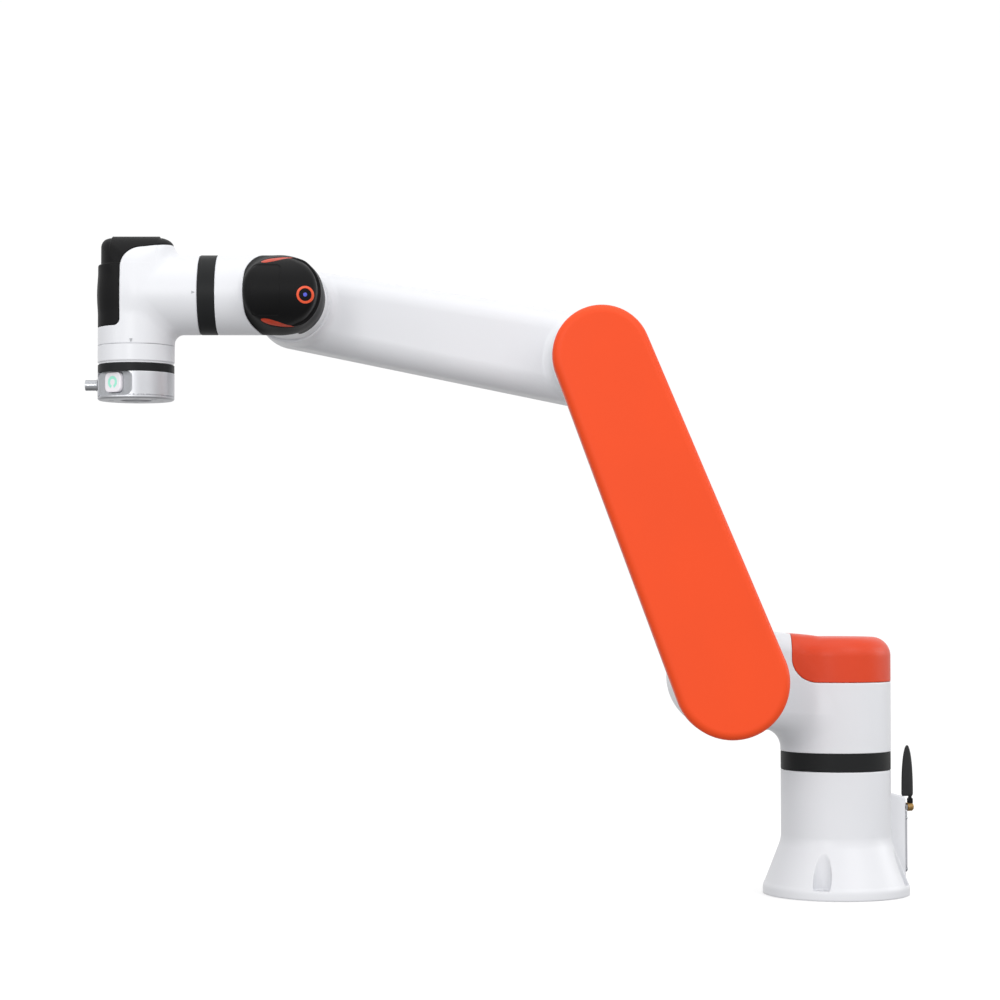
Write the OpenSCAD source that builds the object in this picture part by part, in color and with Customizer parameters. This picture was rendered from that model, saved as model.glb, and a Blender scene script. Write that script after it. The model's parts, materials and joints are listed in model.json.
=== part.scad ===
// Six-axis collaborative robot arm, in millimetres.
// The origin is the centre of the foot's underside, +Z is up and the arm reaches towards -X.
// Joint 1 turns about Z. Joints 2, 3 and 4 turn about Y. Joint 5 turns about X and joint 6 about Z.

/* [Arm layout] */
// Sideways offset from joint 1 to joint 2
shoulder_offset = 121.5; // [118:0.5:126]
// Height of joint 2 above the foot
shoulder_height = 226.5; // [224:0.5:232]
// Joint 2 to joint 3
upper_arm_length = 357; // [300:1:420]
// Lean of the upper arm from the vertical at rest, in degrees
upper_arm_lean = 21.55; // [0:0.05:30]
// Joint 3 to joint 4
forearm_length = 325; // [280:1:400]
// Rise of the forearm above the horizontal at rest, in degrees
forearm_rise = 10.4; // [0:0.1:20]
// Joint 4 to joint 6
wrist_length = 150; // [148:0.5:160]
// Side of the tower that the elbow and wrist seams lie on, measured from joint 1
seam_side = 60; // [60:0.5:64]

/* [Base] */
// Diameter of the foot
foot_diameter = 154; // [150:1:160]
// Height of the foot's upright rim
foot_rim_height = 10; // [8:1:12]
// Height at which the foot's flare meets the column
flare_height = 57; // [50:1:62]
// Diameter of the column and of the joint 1 ring
column_diameter = 115.5; // [115:0.5:117]
// Height of the white column
column_height = 130.7; // [128:0.1:132]
// Height of the joint 1 ring
base_ring_height = 18.9; // [16:0.1:20]
// Turn of the foot about Z, from the arm's plane to the connector panel, in degrees
base_turn = 26; // [0:1:45]
// Bolt circle of the foot
foot_bolt_circle = 136; // [134:1:137]
// Diameter of the foot's bolt holes, for M8 screws
foot_bolt_hole = 9; // [8.5:0.1:9]

/* [Shoulder and links] */
// Radius of the shoulder tower
tower_radius = 58; // [57.75:0.25:58.5]
// Height of the shoulder tower
tower_height = 270; // [266:1:274]
// Height of the lower edge of the orange cap
cap_edge_height = 223.3; // [220:0.1:226]
// Radius of the joint 2 housing
shoulder_radius = 54; // [53:0.5:55]
// Radius of the upper arm around joint 2
arm_low_radius = 57.6; // [57:0.1:58]
// Radius of the upper arm around joint 3
arm_high_radius = 47.8; // [47.4:0.1:48.5]
// Depth of the upper arm's white body
arm_body_depth = 62; // [60:1:64]
// Depth of the orange cover
arm_cover_depth = 28; // [26:1:30]
// Radius of the forearm around joint 3
elbow_radius = 48; // [47.5:0.5:49]
// Radius of the forearm around joint 4
forearm_end_radius = 41; // [40.5:0.5:42]

/* [Wrist] */
// Radius of the main cylinder of a wrist module
wrist_radius = 38.6; // [38.2:0.1:39]
// Radius of the side tube of a wrist module
side_tube_radius = 40.3; // [40:0.1:40.6]
// Output seam to the axis of the side tube
wrist_seam_to_tube = 71; // [70:0.5:74]
// Side tube's axis to the end of the hood
wrist_tube_to_hood = 59.5; // [58:0.5:60]
// Width of the joint 5 ring
wrist_ring_width = 16.9; // [15:0.1:18]
// Diameter of the tool flange
flange_diameter = 77; // [76:0.5:77]
// Height of the metal tool flange
flange_height = 27.5; // [27:0.1:29]

/* [Hidden] */
$fn = 96;

white = "#e6e7ea";
orange = "#ef5634";
black = "#262626";
steel = "#b4b6ba";
copper = "#b5703c";

gap = 0.4; // between faces that turn past each other
fit = 0.05; // radial play of a bearing
wall = 4.5;
overlap = 1; // how far cutting shapes run past a face

// Joint places
j1_z = column_height + base_ring_height;
j2_x = -shoulder_offset;
j2_z = shoulder_height;
elbow_step = [-upper_arm_length * sin(upper_arm_lean), upper_arm_length * cos(upper_arm_lean)];
j3_x = j2_x + elbow_step[0];
j3_z = j2_z + elbow_step[1];
forearm_step = [-forearm_length * cos(forearm_rise), forearm_length * sin(forearm_rise)];
j4_x = j3_x + forearm_step[0];
j4_z = j3_z + forearm_step[1];
wrist_y = -seam_side - wrist_seam_to_tube;
j6_x = j4_x - wrist_length;
j5_x = j6_x + (wrist_length - wrist_ring_width) / 2;
j5_seam_x = j5_x - 0.8;
j6_z = j4_z - wrist_seam_to_tube;
wrist_height = wrist_seam_to_tube + wrist_tube_to_hood;

// Actuator radii: the free radius of each joint's housing
j1_radius = 53;
j2_radius = 49.3;
j3_radius = 42.8;
j4_radius = 36.4;
j5_radius = 35.8;
j6_radius = 34.1;

// Actuator stack, as depths behind the seam
bearing_depth = 12;
gear_depth = 22;
seat_depth = 26;
motor_depth = 46;
post_depth = 52;
board_depth = 54;
shaft_depth = 57;
output_plate = 6; // thickness of the driven flange in front of the seam
end_web = 4; // thickness of the link's wall that the driven flange bolts to
bearing_bore = 0.8; // as a share of the actuator's radius
spline_bore = 0.86;
shaft_share = 0.24;
hollow_share = 0.34;

// Places each joint's seam at Z = 0 with +Z towards the driven link
module at_j1() { translate([0, 0, j1_z]) children(); }
module at_j2() { translate([j2_x, -seam_side, j2_z]) rotate([90, 0, 0]) children(); }
module at_j3() { translate([j3_x, -seam_side, j3_z]) rotate([-90, 0, 0]) children(); }
module at_j4() { translate([j4_x, -seam_side, j4_z]) rotate([90, 0, 0]) children(); }
module at_j5() { translate([j5_seam_x, wrist_y, j4_z]) rotate([0, -90, 0]) children(); }
module at_j6() { translate([j6_x, wrist_y, j6_z]) rotate([180, 0, 0]) children(); }

module ring(outer, inner, low, high) {
    translate([0, 0, low]) difference() {
        cylinder(r = outer, h = high - low);
        translate([0, 0, -overlap]) cylinder(r = inner, h = high - low + 2 * overlap);
    }
}

module around(count, radius, first = 0) {
    for (i = [0 : count - 1]) {
        rotate([0, 0, first + i * 360 / count]) translate([radius, 0, 0]) children();
    }
}

// A tapered stadium between two circles, the first one at the origin
function tangent_turn(step, r_first, r_last) = acos((r_first - r_last) / norm(step));
function on_circle(centre, radius, angle) = centre + radius * [cos(angle), sin(angle)];
module tapered_stadium(step, r_first, r_last) {
    heading = atan2(step[1], step[0]);
    turn = tangent_turn(step, r_first, r_last);
    circle(r = r_first);
    translate(step) circle(r = r_last);
    polygon([
        on_circle([0, 0], r_first, heading + turn),
        on_circle([0, 0], r_first, heading - turn),
        on_circle(step, r_last, heading - turn),
        on_circle(step, r_last, heading + turn)
    ]);
}

module stadium_slab(step, r_first, r_last, low, high) {
    translate([0, 0, low]) linear_extrude(high - low) tapered_stadium(step, r_first, r_last);
}

// ---- Actuator pieces, shared by the six joints ----

// Circular spline and outer bearing ring, with its rollers
module gear_unit(radius) {
    color(steel) {
        ring(radius - 0.1, radius * bearing_bore, -bearing_depth, -1);
        ring(radius - 0.1, radius * spline_bore, -gear_depth, -bearing_depth);
    }
}

// Driven flange, its spigot in the bearing, and the flexible cup
module output_unit(radius) {
    bore = radius * bearing_bore;
    cup = radius * spline_bore - 0.3;
    color(steel) difference() {
        union() {
            ring(radius - 0.3, radius * hollow_share, gap, output_plate + gap);
            ring(bore - fit, radius * hollow_share, -bearing_depth + 3, gap);
            ring(bore - 1, bore - 2.5, -bearing_depth - 0.5, -bearing_depth + 3);
            ring(cup, bore - 2.5, -bearing_depth - 2, -bearing_depth - 0.5);
            ring(cup, cup - 1.5, -gear_depth + 0.5, -bearing_depth - 2);
        }
        around(8, radius * 0.58) {
            translate([0, 0, -overlap]) cylinder(r = 1.6, h = output_plate + 3 * overlap);
        }
    }
}

// Laminated stator with its coils and the board's posts
module motor_unit(radius) {
    bore = radius * 0.5;
    color(copper) {
        ring(radius - 0.5, radius * 0.82, -motor_depth, -seat_depth);
        around(12, 0) {
            translate([bore + 1, -radius * 0.07, -motor_depth + 2]) {
                cube([radius * 0.84 - bore - 1, radius * 0.14, motor_depth - seat_depth - 4]);
            }
        }
        around(4, radius * 0.88, 45) {
            translate([0, 0, -post_depth]) cylinder(r = 1.8, h = post_depth - motor_depth + overlap);
        }
    }
}

// Hollow motor shaft with magnets, wave generator, brake disc and encoder disc
module rotor_unit(radius) {
    shaft = radius * shaft_share;
    hole = shaft - 2;
    color(black) {
        ring(shaft, hole, -shaft_depth, -bearing_depth - 3);
        ring(radius * 0.72, shaft, -gear_depth + 1.5, -bearing_depth - 3);
        ring(radius * 0.5, shaft, -motor_depth + 1, -seat_depth - 1);
        ring(radius * 0.4, shaft, -post_depth, -post_depth + 1.5);
    }
}

module drive_board(radius) {
    chip = radius * 0.16;
    color("#1f6b45") difference() {
        union() {
            ring(radius - 2, radius * hollow_share, -board_depth, -post_depth);
            around(5, radius * 0.62) {
                translate([-chip / 2, -chip / 2, -board_depth - 2]) cube([chip, chip, 3]);
            }
        }
        around(4, radius * 0.88) {
            translate([0, 0, -board_depth - overlap]) cylinder(r = 1.5, h = 4);
        }
    }
}

// The casting's inner flange that carries the gear unit in front and the motor behind
module seat(radius) { ring(radius + 0.5, radius * 0.9, -seat_depth, -gear_depth); }

// The link's wall that the driven flange bolts to
module link_wall(radius) {
    difference() {
        ring(radius + 0.5, radius * hollow_share, output_plate + gap, output_plate + gap + end_web);
        around(8, radius * 0.58) cylinder(r = 1.6, h = 20);
    }
}

// ---- Base ----

foot_radius = foot_diameter / 2;
column_radius = column_diameter / 2;
box_width = 46;
box_face = 74;
box_top = 100;
box_bottom = 14;
panel_thickness = 1.6;
panel_top = 83;
box_cavity_top = 80;
pocket_radius = 9.5;
pocket_centre = foot_bolt_circle / 2 + 3;
plate_thickness = 3;

module base_frame() { rotate([0, 0, base_turn]) children(); }

module base_casting() {
    inner = column_radius - wall;
    color(white) base_frame() difference() {
        union() {
            cylinder(r = foot_radius, h = foot_rim_height);
            translate([0, 0, foot_rim_height]) {
                cylinder(r1 = foot_radius - 1, r2 = column_radius, h = flare_height - foot_rim_height);
            }
            cylinder(r = column_radius, h = column_height);
        }
        translate([0, 0, plate_thickness]) cylinder(r = inner, h = column_height);
        translate([0, 0, -overlap]) cylinder(r = inner + 2, h = plate_thickness + overlap);
        around(4, foot_bolt_circle / 2, 45) {
            translate([0, 0, -overlap]) cylinder(d = foot_bolt_hole, h = 20);
        }
        around(4, pocket_centre, 45) {
            translate([0, 0, foot_rim_height]) cylinder(r = pocket_radius, h = 60);
        }
        // cable way into the connector box
        translate([inner - 5, -12, 25]) cube([foot_radius - inner, 24, 60]);
    }
    color(white) intersection() {
        translate([0, 0, j1_z]) seat(j1_radius);
        cylinder(r = inner + 0.5, h = j1_z);
    }
}

// Bottom plate, sunk into the foot
module base_plate() {
    inner = column_radius - wall;
    color(steel) difference() {
        cylinder(r = inner + 1.8, h = plate_thickness);
        around(6, inner - 4) translate([0, 0, -overlap]) cylinder(r = 1.7, h = 10);
    }
}

// Raised box on the back of the column, open towards the panel
module connector_box() {
    color(white) base_frame() difference() {
        translate([column_radius - 6, -box_width / 2, box_bottom]) {
            cube([box_face - column_radius + 6, box_width, box_top - box_bottom]);
        }
        cylinder(r = column_radius + 0.02, h = column_height);
        translate([0, 0, foot_rim_height]) {
            cylinder(r1 = foot_radius - 0.98, r2 = column_radius + 0.02, h = flare_height - foot_rim_height);
        }
        around(4, pocket_centre, 45) translate([0, 0, foot_rim_height]) cylinder(r = pocket_radius, h = 60);
        translate([40, -box_width / 2 + 5, 24]) {
            cube([box_face - 40 + overlap, box_width - 10, box_cavity_top - 24]);
        }
        at_panel_screws(-6) cylinder(r = 1.6, h = 10);
        translate([box_face - 8, antenna_y, antenna_z]) rotate([0, 90, 0]) cylinder(r = 3.2, h = 20);
    }
}

module connector_panel() {
    color(steel) base_frame() difference() {
        translate([box_face, -box_width / 2 + 0.6, 20]) {
            cube([panel_thickness, box_width - 1.2, panel_top - 20]);
        }
        for (place = socket_places) {
            translate([box_face - overlap, place[0], place[1]]) rotate([0, 90, 0]) {
                cylinder(r = place[2], h = 10);
            }
        }
        at_panel_screws(-overlap) cylinder(r = 1.6, h = 10);
    }
}

// Y, Z and radius of each socket in the panel: power, network and signals
socket_places = [[0, 36, 8], [-8.5, 57, 6], [8.5, 57, 6], [0, 73, 5]];
panel_screw_heights = [25, 79];

// Places shapes at the panel's four screws, this far from the box's face, with +Z outwards
module at_panel_screws(start) {
    for (side = [-1, 1], height = panel_screw_heights) {
        translate([box_face + start, side * 20, height]) rotate([0, 90, 0]) children();
    }
}

module panel_screws() {
    color(steel) base_frame() at_panel_screws(-5) {
        cylinder(r = 1.5, h = 5 + panel_thickness);
        translate([0, 0, 5 + panel_thickness]) difference() {
            cylinder(r = 2.8, h = 1.6);
            translate([0, 0, 0.6]) cylinder(r = 1.25, h = 2, $fn = 6);
        }
    }
}

module panel_sockets() {
    color(black) base_frame() for (place = socket_places) {
        translate([box_face - 6, place[0], place[1]]) rotate([0, 90, 0]) difference() {
            union() {
                cylinder(r = place[2] - 0.1, h = 6 + panel_thickness + 1.5);
                translate([0, 0, 6 + panel_thickness]) cylinder(r = place[2] + 1.2, h = 1.2);
            }
            translate([0, 0, 3]) cylinder(r = place[2] - 2, h = 20);
        }
    }
}

// ---- Antenna ----

antenna_z = 89;
antenna_y = -18;
sleeve_radius = 4.7;
sleeve_end = 11; // length of the brass connector in front of the box
hinge = [82, antenna_y, antenna_z + 7.6]; // the antenna's tilt axis, along Y of the base
ear_radius = 2.3;
tongue_width = 2.2;
blade_foot = 4; // height of the blade's foot above the hinge
blade_shift = -3.5;
blade_length = 54;
blade_width = 14.4;
blade_thickness = 6.5;

module at_connector() { translate([box_face, antenna_y, antenna_z]) rotate([0, 90, 0]) children(); }

module antenna_connector() {
    color("#9a7e58") base_frame() at_connector() {
        cylinder(r = 5.2, h = 2, $fn = 6);
        translate([0, 0, -6]) cylinder(r = 3, h = 10);
        translate([0, 0, 3.4]) cylinder(r = sleeve_radius, h = sleeve_end - 3.4);
    }
}

// Black fork on the connector's sleeve
module antenna_knuckle() {
    color(black) base_frame() difference() {
        union() {
            translate([hinge[0] - ear_radius, antenna_y - 2.6, antenna_z]) {
                cube([2 * ear_radius, 5.2, hinge[2] - antenna_z]);
            }
            translate(hinge) rotate([90, 0, 0]) cylinder(r = ear_radius, h = 5.2, center = true);
        }
        at_connector() cylinder(r = sleeve_radius + 0.02, h = 20);
        translate(hinge) cube([8, tongue_width, 2 * ear_radius + 0.6], center = true);
        translate(hinge) rotate([90, 0, 0]) cylinder(r = 0.9, h = 20, center = true);
    }
}

// Tapered blade with its tongue and hinge pin
module antenna_blade() {
    color(black) base_frame() translate(hinge) {
        rotate([90, 0, 0]) cylinder(r = 0.85, h = 5.2, center = true);
        rotate([90, 0, 0]) cylinder(r = ear_radius - 0.2, h = tongue_width - 0.3, center = true);
        translate([-1.7, -1, 0]) cube([3.4, 2, blade_foot + 2]);
        translate([blade_shift, 0, blade_foot]) hull() {
            for (level = [[0.84, 0], [1, 3], [0.93, 15], [0.8, 29], [0.55, 42], [0.22, blade_length - 1]]) {
                translate([0, 0, level[1]]) {
                    scale([level[0] * blade_width / 2, level[0] * blade_thickness / 2, 1]) {
                        cylinder(r = 1, h = 1, $fn = 24);
                    }
                }
            }
        }
    }
}

// ---- Joint 1 ring and shoulder ----

module j1_ring() {
    color(black) ring(column_radius, column_radius - wall, column_height, j1_z);
}

cap_left = -47;
cap_corner = 25;
cap_wall = 3.6;
top_round = 20;
rear_cover_depth = 98; // joint 2's seam to the rear cover

module tower(radius, low, high, rounding) {
    rotate_extrude() {
        translate([0, low]) square([radius, high - rounding - low]);
        translate([0, high - rounding - overlap]) square([radius - rounding, rounding + overlap]);
        translate([radius - rounding, high - rounding]) intersection() {
            circle(r = rounding);
            square(rounding);
        }
    }
}

// Region to the right of and above the cap's edge, as an upright slab across Y
module cap_region() {
    rotate([90, 0, 0]) linear_extrude(200, center = true) {
        translate([cap_left + cap_corner, cap_edge_height]) square([150, 100]);
        translate([cap_left, cap_edge_height + cap_corner]) square([150, 100]);
        translate([cap_left + cap_corner, cap_edge_height + cap_corner]) circle(r = cap_corner);
    }
}

module shoulder_solid() {
    tower(tower_radius, j1_z + gap, tower_height, top_round);
    hull() {
        translate([0, 0, 176]) cylinder(r = 54, h = 88, $fn = 32);
        translate([j2_x, 42, j2_z]) rotate([90, 0, 0]) cylinder(r = 50, h = 96, $fn = 32);
    }
    at_j2() translate([0, 0, -rear_cover_depth]) cylinder(r = shoulder_radius, h = rear_cover_depth);
}

module shoulder_casting() {
    color(white) {
        difference() {
            union() {
                difference() {
                    shoulder_solid();
                    cap_region();
                }
                intersection() {
                    tower(tower_radius - cap_wall - 0.2, j1_z + 20, tower_height - cap_wall - 0.2, top_round - 3);
                    cap_region();
                }
            }
            translate([0, 0, j1_z]) cylinder(r = j1_radius - 0.3, h = output_plate + gap);
            translate([0, 0, j1_z + output_plate + gap + end_web]) cylinder(r = 49, h = 98);
            translate([0, 0, j1_z]) cylinder(r = j1_radius * hollow_share, h = 30);
            at_j2() translate([0, 0, -110]) cylinder(r = j2_radius, h = 120);
            at_j2() translate([0, 0, -110]) cylinder(r = shoulder_radius + gap, h = 110 - rear_cover_depth);
            translate([j2_x, 0, j2_z]) rotate([0, 90, 0]) cylinder(r = 18, h = shoulder_offset);
        }
        at_j2() seat(j2_radius);
    }
}

module shoulder_cap() {
    color(orange) intersection() {
        difference() {
            tower(tower_radius, j1_z + 20, tower_height, top_round);
            tower(tower_radius - cap_wall, j1_z + 19, tower_height - cap_wall, top_round - 3);
        }
        cap_region();
    }
}

module shoulder_rear_cover() {
    color(white) at_j2() difference() {
        union() {
            translate([0, 0, -rear_cover_depth - 6.5]) {
                cylinder(r1 = shoulder_radius - 4, r2 = shoulder_radius, h = 4);
            }
            translate([0, 0, -rear_cover_depth - 2.5]) cylinder(r = shoulder_radius, h = 2.5);
            translate([0, 0, -rear_cover_depth]) cylinder(r = j2_radius - 0.1, h = 6);
        }
        translate([0, 0, -rear_cover_depth - 3]) cylinder(r = j2_radius - 4, h = 20);
        around(6, j2_radius - 9) translate([0, 0, -rear_cover_depth - 8]) cylinder(r = 2.2, h = 8);
    }
}

// ---- Upper arm ----

tube_low = 44;
tube_high = 36;
housing_depth = 52;
tube_back = 12;

module upper_arm_casting() {
    color(white) at_j2() {
        difference() {
            union() {
                ring(arm_low_radius - 1.6, 1, gap, housing_depth);
                translate(elbow_step) ring(arm_high_radius - 1, 1, 0, housing_depth);
                stadium_slab(elbow_step, tube_low, tube_high, tube_back, housing_depth);
                stadium_slab(elbow_step, arm_low_radius, arm_high_radius, housing_depth, arm_body_depth);
            }
            translate([0, 0, gap - overlap]) cylinder(r = j2_radius, h = output_plate + overlap);
            translate([0, 0, output_plate + gap + end_web]) cylinder(r = j2_radius, h = 60);
            translate([0, 0, -overlap]) cylinder(r = j2_radius * hollow_share, h = 20);
            translate(concat(elbow_step, -overlap)) cylinder(r = j3_radius, h = 80);
            stadium_slab(elbow_step, tube_low - wall, tube_high - wall, tube_back + wall, 80);
        }
        translate(elbow_step) mirror([0, 0, 1]) seat(j3_radius);
    }
}

module cover_shape(inset) {
    top = arm_body_depth + arm_cover_depth - inset;
    base = arm_body_depth;
    hull() {
        for (level = [[0, base, top - 9], [0.9, base, top - 5.6], [3, base, top - 2.4], [7, base, top - 0.6],
                      [11, base, top]]) {
            shrink = level[0] + inset;
            translate([0, 0, level[1]]) linear_extrude(level[2] - level[1]) {
                circle(r = arm_low_radius + 0.2 - shrink, $fn = 64);
                translate(elbow_step) circle(r = arm_high_radius + 0.2 - shrink, $fn = 64);
            }
        }
    }
}

module upper_arm_cover() {
    color(orange) at_j2() difference() {
        cover_shape(0);
        translate([0, 0, -0.01]) cover_shape(3);
    }
}

module upper_arm_harness() {
    start = 50;
    length = upper_arm_length - 105;
    color(black) at_j2() translate([0, 0, 34]) rotate([0, 0, 90 + upper_arm_lean]) {
        for (side = [-1, 0, 1]) {
            translate([start, side * 9, 0]) rotate([0, 90, 0]) cylinder(r = 4, h = length);
        }
        for (along = [start + 30, start + length / 2, start + length - 30]) {
            translate([along, -15, -6]) cube([8, 30, 2]);
        }
    }
}

// ---- Forearm ----

forearm_front = 10; // set back of the forearm's flat face from the seams
forearm_depth = 96; // seam to the forearm's back face

module forearm_shape(inset) {
    hull() {
        for (level = [[24, 0], [10, 6], [3, 14], [0, 24]]) {
            shrink = level[0] + inset;
            depth = level[1] + inset;
            translate([0, 0, forearm_front + depth]) linear_extrude(forearm_depth - forearm_front - 2 * depth) {
                circle(r = elbow_radius + 0.1 - shrink, $fn = 64);
                translate(forearm_step) circle(r = forearm_end_radius + 0.1 - shrink, $fn = 64);
            }
        }
    }
}

module forearm_frame() {
    translate([j3_x, -seam_side, j3_z]) mirror([0, 1, 0]) rotate([90, 0, 0]) children();
}

module forearm_casting() {
    color(white) {
        forearm_frame() difference() {
            union() {
                forearm_shape(0);
                translate([0, 0, gap]) cylinder(r = elbow_radius, h = 50);
                translate(forearm_step) cylinder(r = forearm_end_radius, h = 60);
            }
            translate([0, 0, -overlap]) cylinder(r = j3_radius, h = output_plate + gap + overlap);
            translate([0, 0, output_plate + gap + end_web]) cylinder(r = j3_radius, h = 60);
            translate([0, 0, -overlap]) cylinder(r = j3_radius * hollow_share, h = 20);
            translate(concat(forearm_step, -overlap)) cylinder(r = j4_radius, h = 200);
            translate([0, 0, wall]) stadium_slab(forearm_step, 30, 26, forearm_front, 74);
        }
        at_j4() seat(j4_radius);
    }
}

module forearm_rear_cover() {
    color(white) forearm_frame() translate(forearm_step) difference() {
        union() {
            translate([0, 0, forearm_depth - 16]) cylinder(r = j4_radius - 0.1, h = 16);
            translate([0, 0, forearm_depth]) cylinder(r1 = j4_radius - 0.1, r2 = j4_radius - 3, h = 3);
        }
        translate([0, 0, forearm_depth - 17]) cylinder(r = j4_radius - 4, h = 15);
        around(4, j4_radius - 8, 45) translate([0, 0, forearm_depth - 3]) cylinder(r = 2.2, h = 8);
    }
}

module forearm_harness() {
    start = 52;
    length = forearm_length - 96;
    color(black) forearm_frame() translate([0, 0, 50]) rotate([0, 0, 180 - forearm_rise]) {
        for (side = [-1, 0, 1]) {
            translate([start, side * 9, 0]) rotate([0, 90, 0]) cylinder(r = 4, h = length);
        }
        for (along = [start + 30, start + length - 30]) {
            translate([along, -15, -6]) cube([8, 30, 2]);
        }
    }
}

// ---- Wrist modules: output seam at Z = 0, side tube along +X ----

hood_wall = 3.2;
hood_strip_x = -16.7;
hood_strip_z = 37.5;
hood_top_z = 120.5;

module wrist_1_frame() {
    translate([j4_x, -seam_side, j4_z]) rotate([0, 180, 0]) rotate([90, 0, 0]) children();
}
module wrist_2_frame() { translate([j6_x, wrist_y, j6_z]) children(); }

module hood_region(grow = 0) {
    translate([-60, -60, hood_top_z - grow]) cube([120, 120, 40]);
    translate([-60, -60, hood_strip_z - grow]) cube([60 + hood_strip_x + grow, 120, 120]);
}

module wrist_body(height, radius) { tower(radius, 0, height, 8); }

module wrist_casting(tube_end, cavity) {
    difference() {
        union() {
            difference() {
                wrist_body(wrist_height, wrist_radius);
                hood_region();
            }
            intersection() {
                wrist_body(wrist_height - hood_wall - 0.2, wrist_radius - hood_wall - 0.2);
                hood_region();
            }
            translate([0, 0, wrist_seam_to_tube]) rotate([0, 90, 0]) cylinder(r = side_tube_radius, h = tube_end);
        }
        translate([0, 0, -overlap]) cylinder(r = cavity, h = wrist_height - 10);
        translate([0, 0, wrist_seam_to_tube]) rotate([0, 90, 0]) cylinder(r = j5_radius, h = 100);
    }
}

module wrist_hood() {
    intersection() {
        difference() {
            wrist_body(wrist_height, wrist_radius);
            translate([0, 0, -overlap]) {
                wrist_body(wrist_height - hood_wall + overlap, wrist_radius - hood_wall);
            }
            translate([0, 0, wrist_seam_to_tube]) rotate([0, 90, 0]) cylinder(r = side_tube_radius + 0.02, h = 100);
        }
        hood_region();
    }
}

wrist_1_tube = j4_x - j5_seam_x - wrist_ring_width;

module wrist_1_casting() {
    color(white) difference() {
        union() {
            wrist_1_frame() difference() {
                wrist_casting(wrist_1_tube, j4_radius - 1);
                translate([0, 0, -overlap]) cylinder(r = 60, h = gap + overlap);
            }
            wrist_1_frame() intersection() {
                link_wall(j4_radius);
                cylinder(r = wrist_radius - 1, h = 60);
            }
            at_j5() intersection() {
                seat(j5_radius);
                cylinder(r = side_tube_radius - 1, h = 200, center = true);
            }
        }
        wrist_1_frame() translate([0, 0, -overlap]) cylinder(r = j4_radius - 0.2, h = output_plate + gap + overlap);
    }
}

window_height = 8;
window_offset = 33;

// Thin lens-shaped lights near the upper and lower edge of the hood's end
module window_shape(grow) {
    lens = 20;
    for (side = [-1, 1]) {
        translate([8, side * (window_offset - 1), hood_top_z]) intersection() {
            translate([0, -side * (lens - window_height / 2), 0]) cylinder(r = lens + grow, h = 20);
            translate([0, side * (lens - window_height / 2), 0]) cylinder(r = lens + grow, h = 20);
        }
    }
}

module wrist_1_hood() {
    color(black) wrist_1_frame() difference() {
        wrist_hood();
        window_shape(0);
    }
}

module hood_windows() {
    color(orange) wrist_1_frame() intersection() {
        window_shape(-0.1);
        difference() {
            wrist_body(wrist_height - 0.4, wrist_radius - 0.4);
            wrist_body(wrist_height - 3, wrist_radius - 3);
        }
    }
}

module j5_ring() {
    color(black) at_j5() ring(side_tube_radius, j5_radius, -wrist_ring_width, 0);
}

module wrist_2_casting() {
    color(white) {
        difference() {
            wrist_2_frame() wrist_casting(j5_seam_x - gap - j6_x, j6_radius);
            at_j5() translate([0, 0, -overlap]) cylinder(r = 60, h = gap + overlap);
        }
        at_j5() intersection() {
            link_wall(j5_radius);
            cylinder(r = side_tube_radius - 1, h = 60);
        }
        at_j6() seat(j6_radius);
    }
}

module wrist_2_hood() { color(black) wrist_2_frame() wrist_hood(); }

// ---- Tool side ----

tool_ring_height = 8;
flange_radius = flange_diameter / 2;
flange_top = tool_ring_height + gap; // depths below the joint 6 seam
flange_face = flange_top + flange_height;
tool_bolt_circle = 50;
button_turn = 126; // heading of the button pad about joint 6, in degrees
pad_distance = 30;
button_size = 20.3;
button_corner = 6;
button_stands = 3.6;
button_depth = flange_top + 10.8;
tool_turn = button_turn - 45; // the button lies between two tool screws

// Shapes on the button pad: X is outwards and Z runs along joint 6
module at_pad() { rotate([0, 0, button_turn]) translate([0, 0, button_depth]) children(); }

module rounded_square(size, corner) {
    square([size, size - 2 * corner], center = true);
    square([size - 2 * corner, size], center = true);
    for (x = [-1, 1], y = [-1, 1]) {
        translate([x * (size / 2 - corner), y * (size / 2 - corner)]) circle(r = corner, $fn = 32);
    }
}

module button_block(size, corner, low, high) {
    translate([low, 0, 0]) rotate([0, 90, 0]) linear_extrude(high - low) rounded_square(size, corner);
}

module j6_ring() {
    color(black) at_j6() ring(wrist_radius - 0.2, j6_radius - 0.3, gap, flange_top);
}

module j6_output() {
    color(steel) at_j6() {
        output_unit(j6_radius - 0.2);
    }
}

module tool_flange() {
    inner = j6_radius - 4;
    color("#d3d4d8") at_j6() difference() {
        union() {
            ring(flange_radius, 1, flange_top, flange_face - 1.5);
            translate([0, 0, flange_face - 1.5]) cylinder(r1 = flange_radius, r2 = flange_radius - 1.5, h = 1.5);
            ring(j6_radius - 1, 1, output_plate + gap, flange_top);
        }
        translate([0, 0, flange_face - 6]) cylinder(d = 31.5, h = 10);
        cylinder(r = 8, h = 60);
        rotate([0, 0, tool_turn]) {
            around(4, tool_bolt_circle / 2) translate([0, 0, flange_face - 10]) cylinder(r = 2.5, h = 20);
        }
        rotate([0, 0, tool_turn - 45]) {
            translate([tool_bolt_circle / 2, 0, flange_face - 7]) cylinder(r = 3, h = 20);
        }
        at_pad() translate([pad_distance, -40, -button_depth + flange_top - overlap]) {
            cube([30, 80, 24 + overlap]);
        }
        at_pad() button_block(button_size + 1, button_corner, pad_distance - 6, pad_distance + 1);
        translate([0, 0, flange_top + 12]) rotate([0, 0, 180]) rotate([0, 90, 0]) cylinder(r = 4, h = 60);
    }
}

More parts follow.
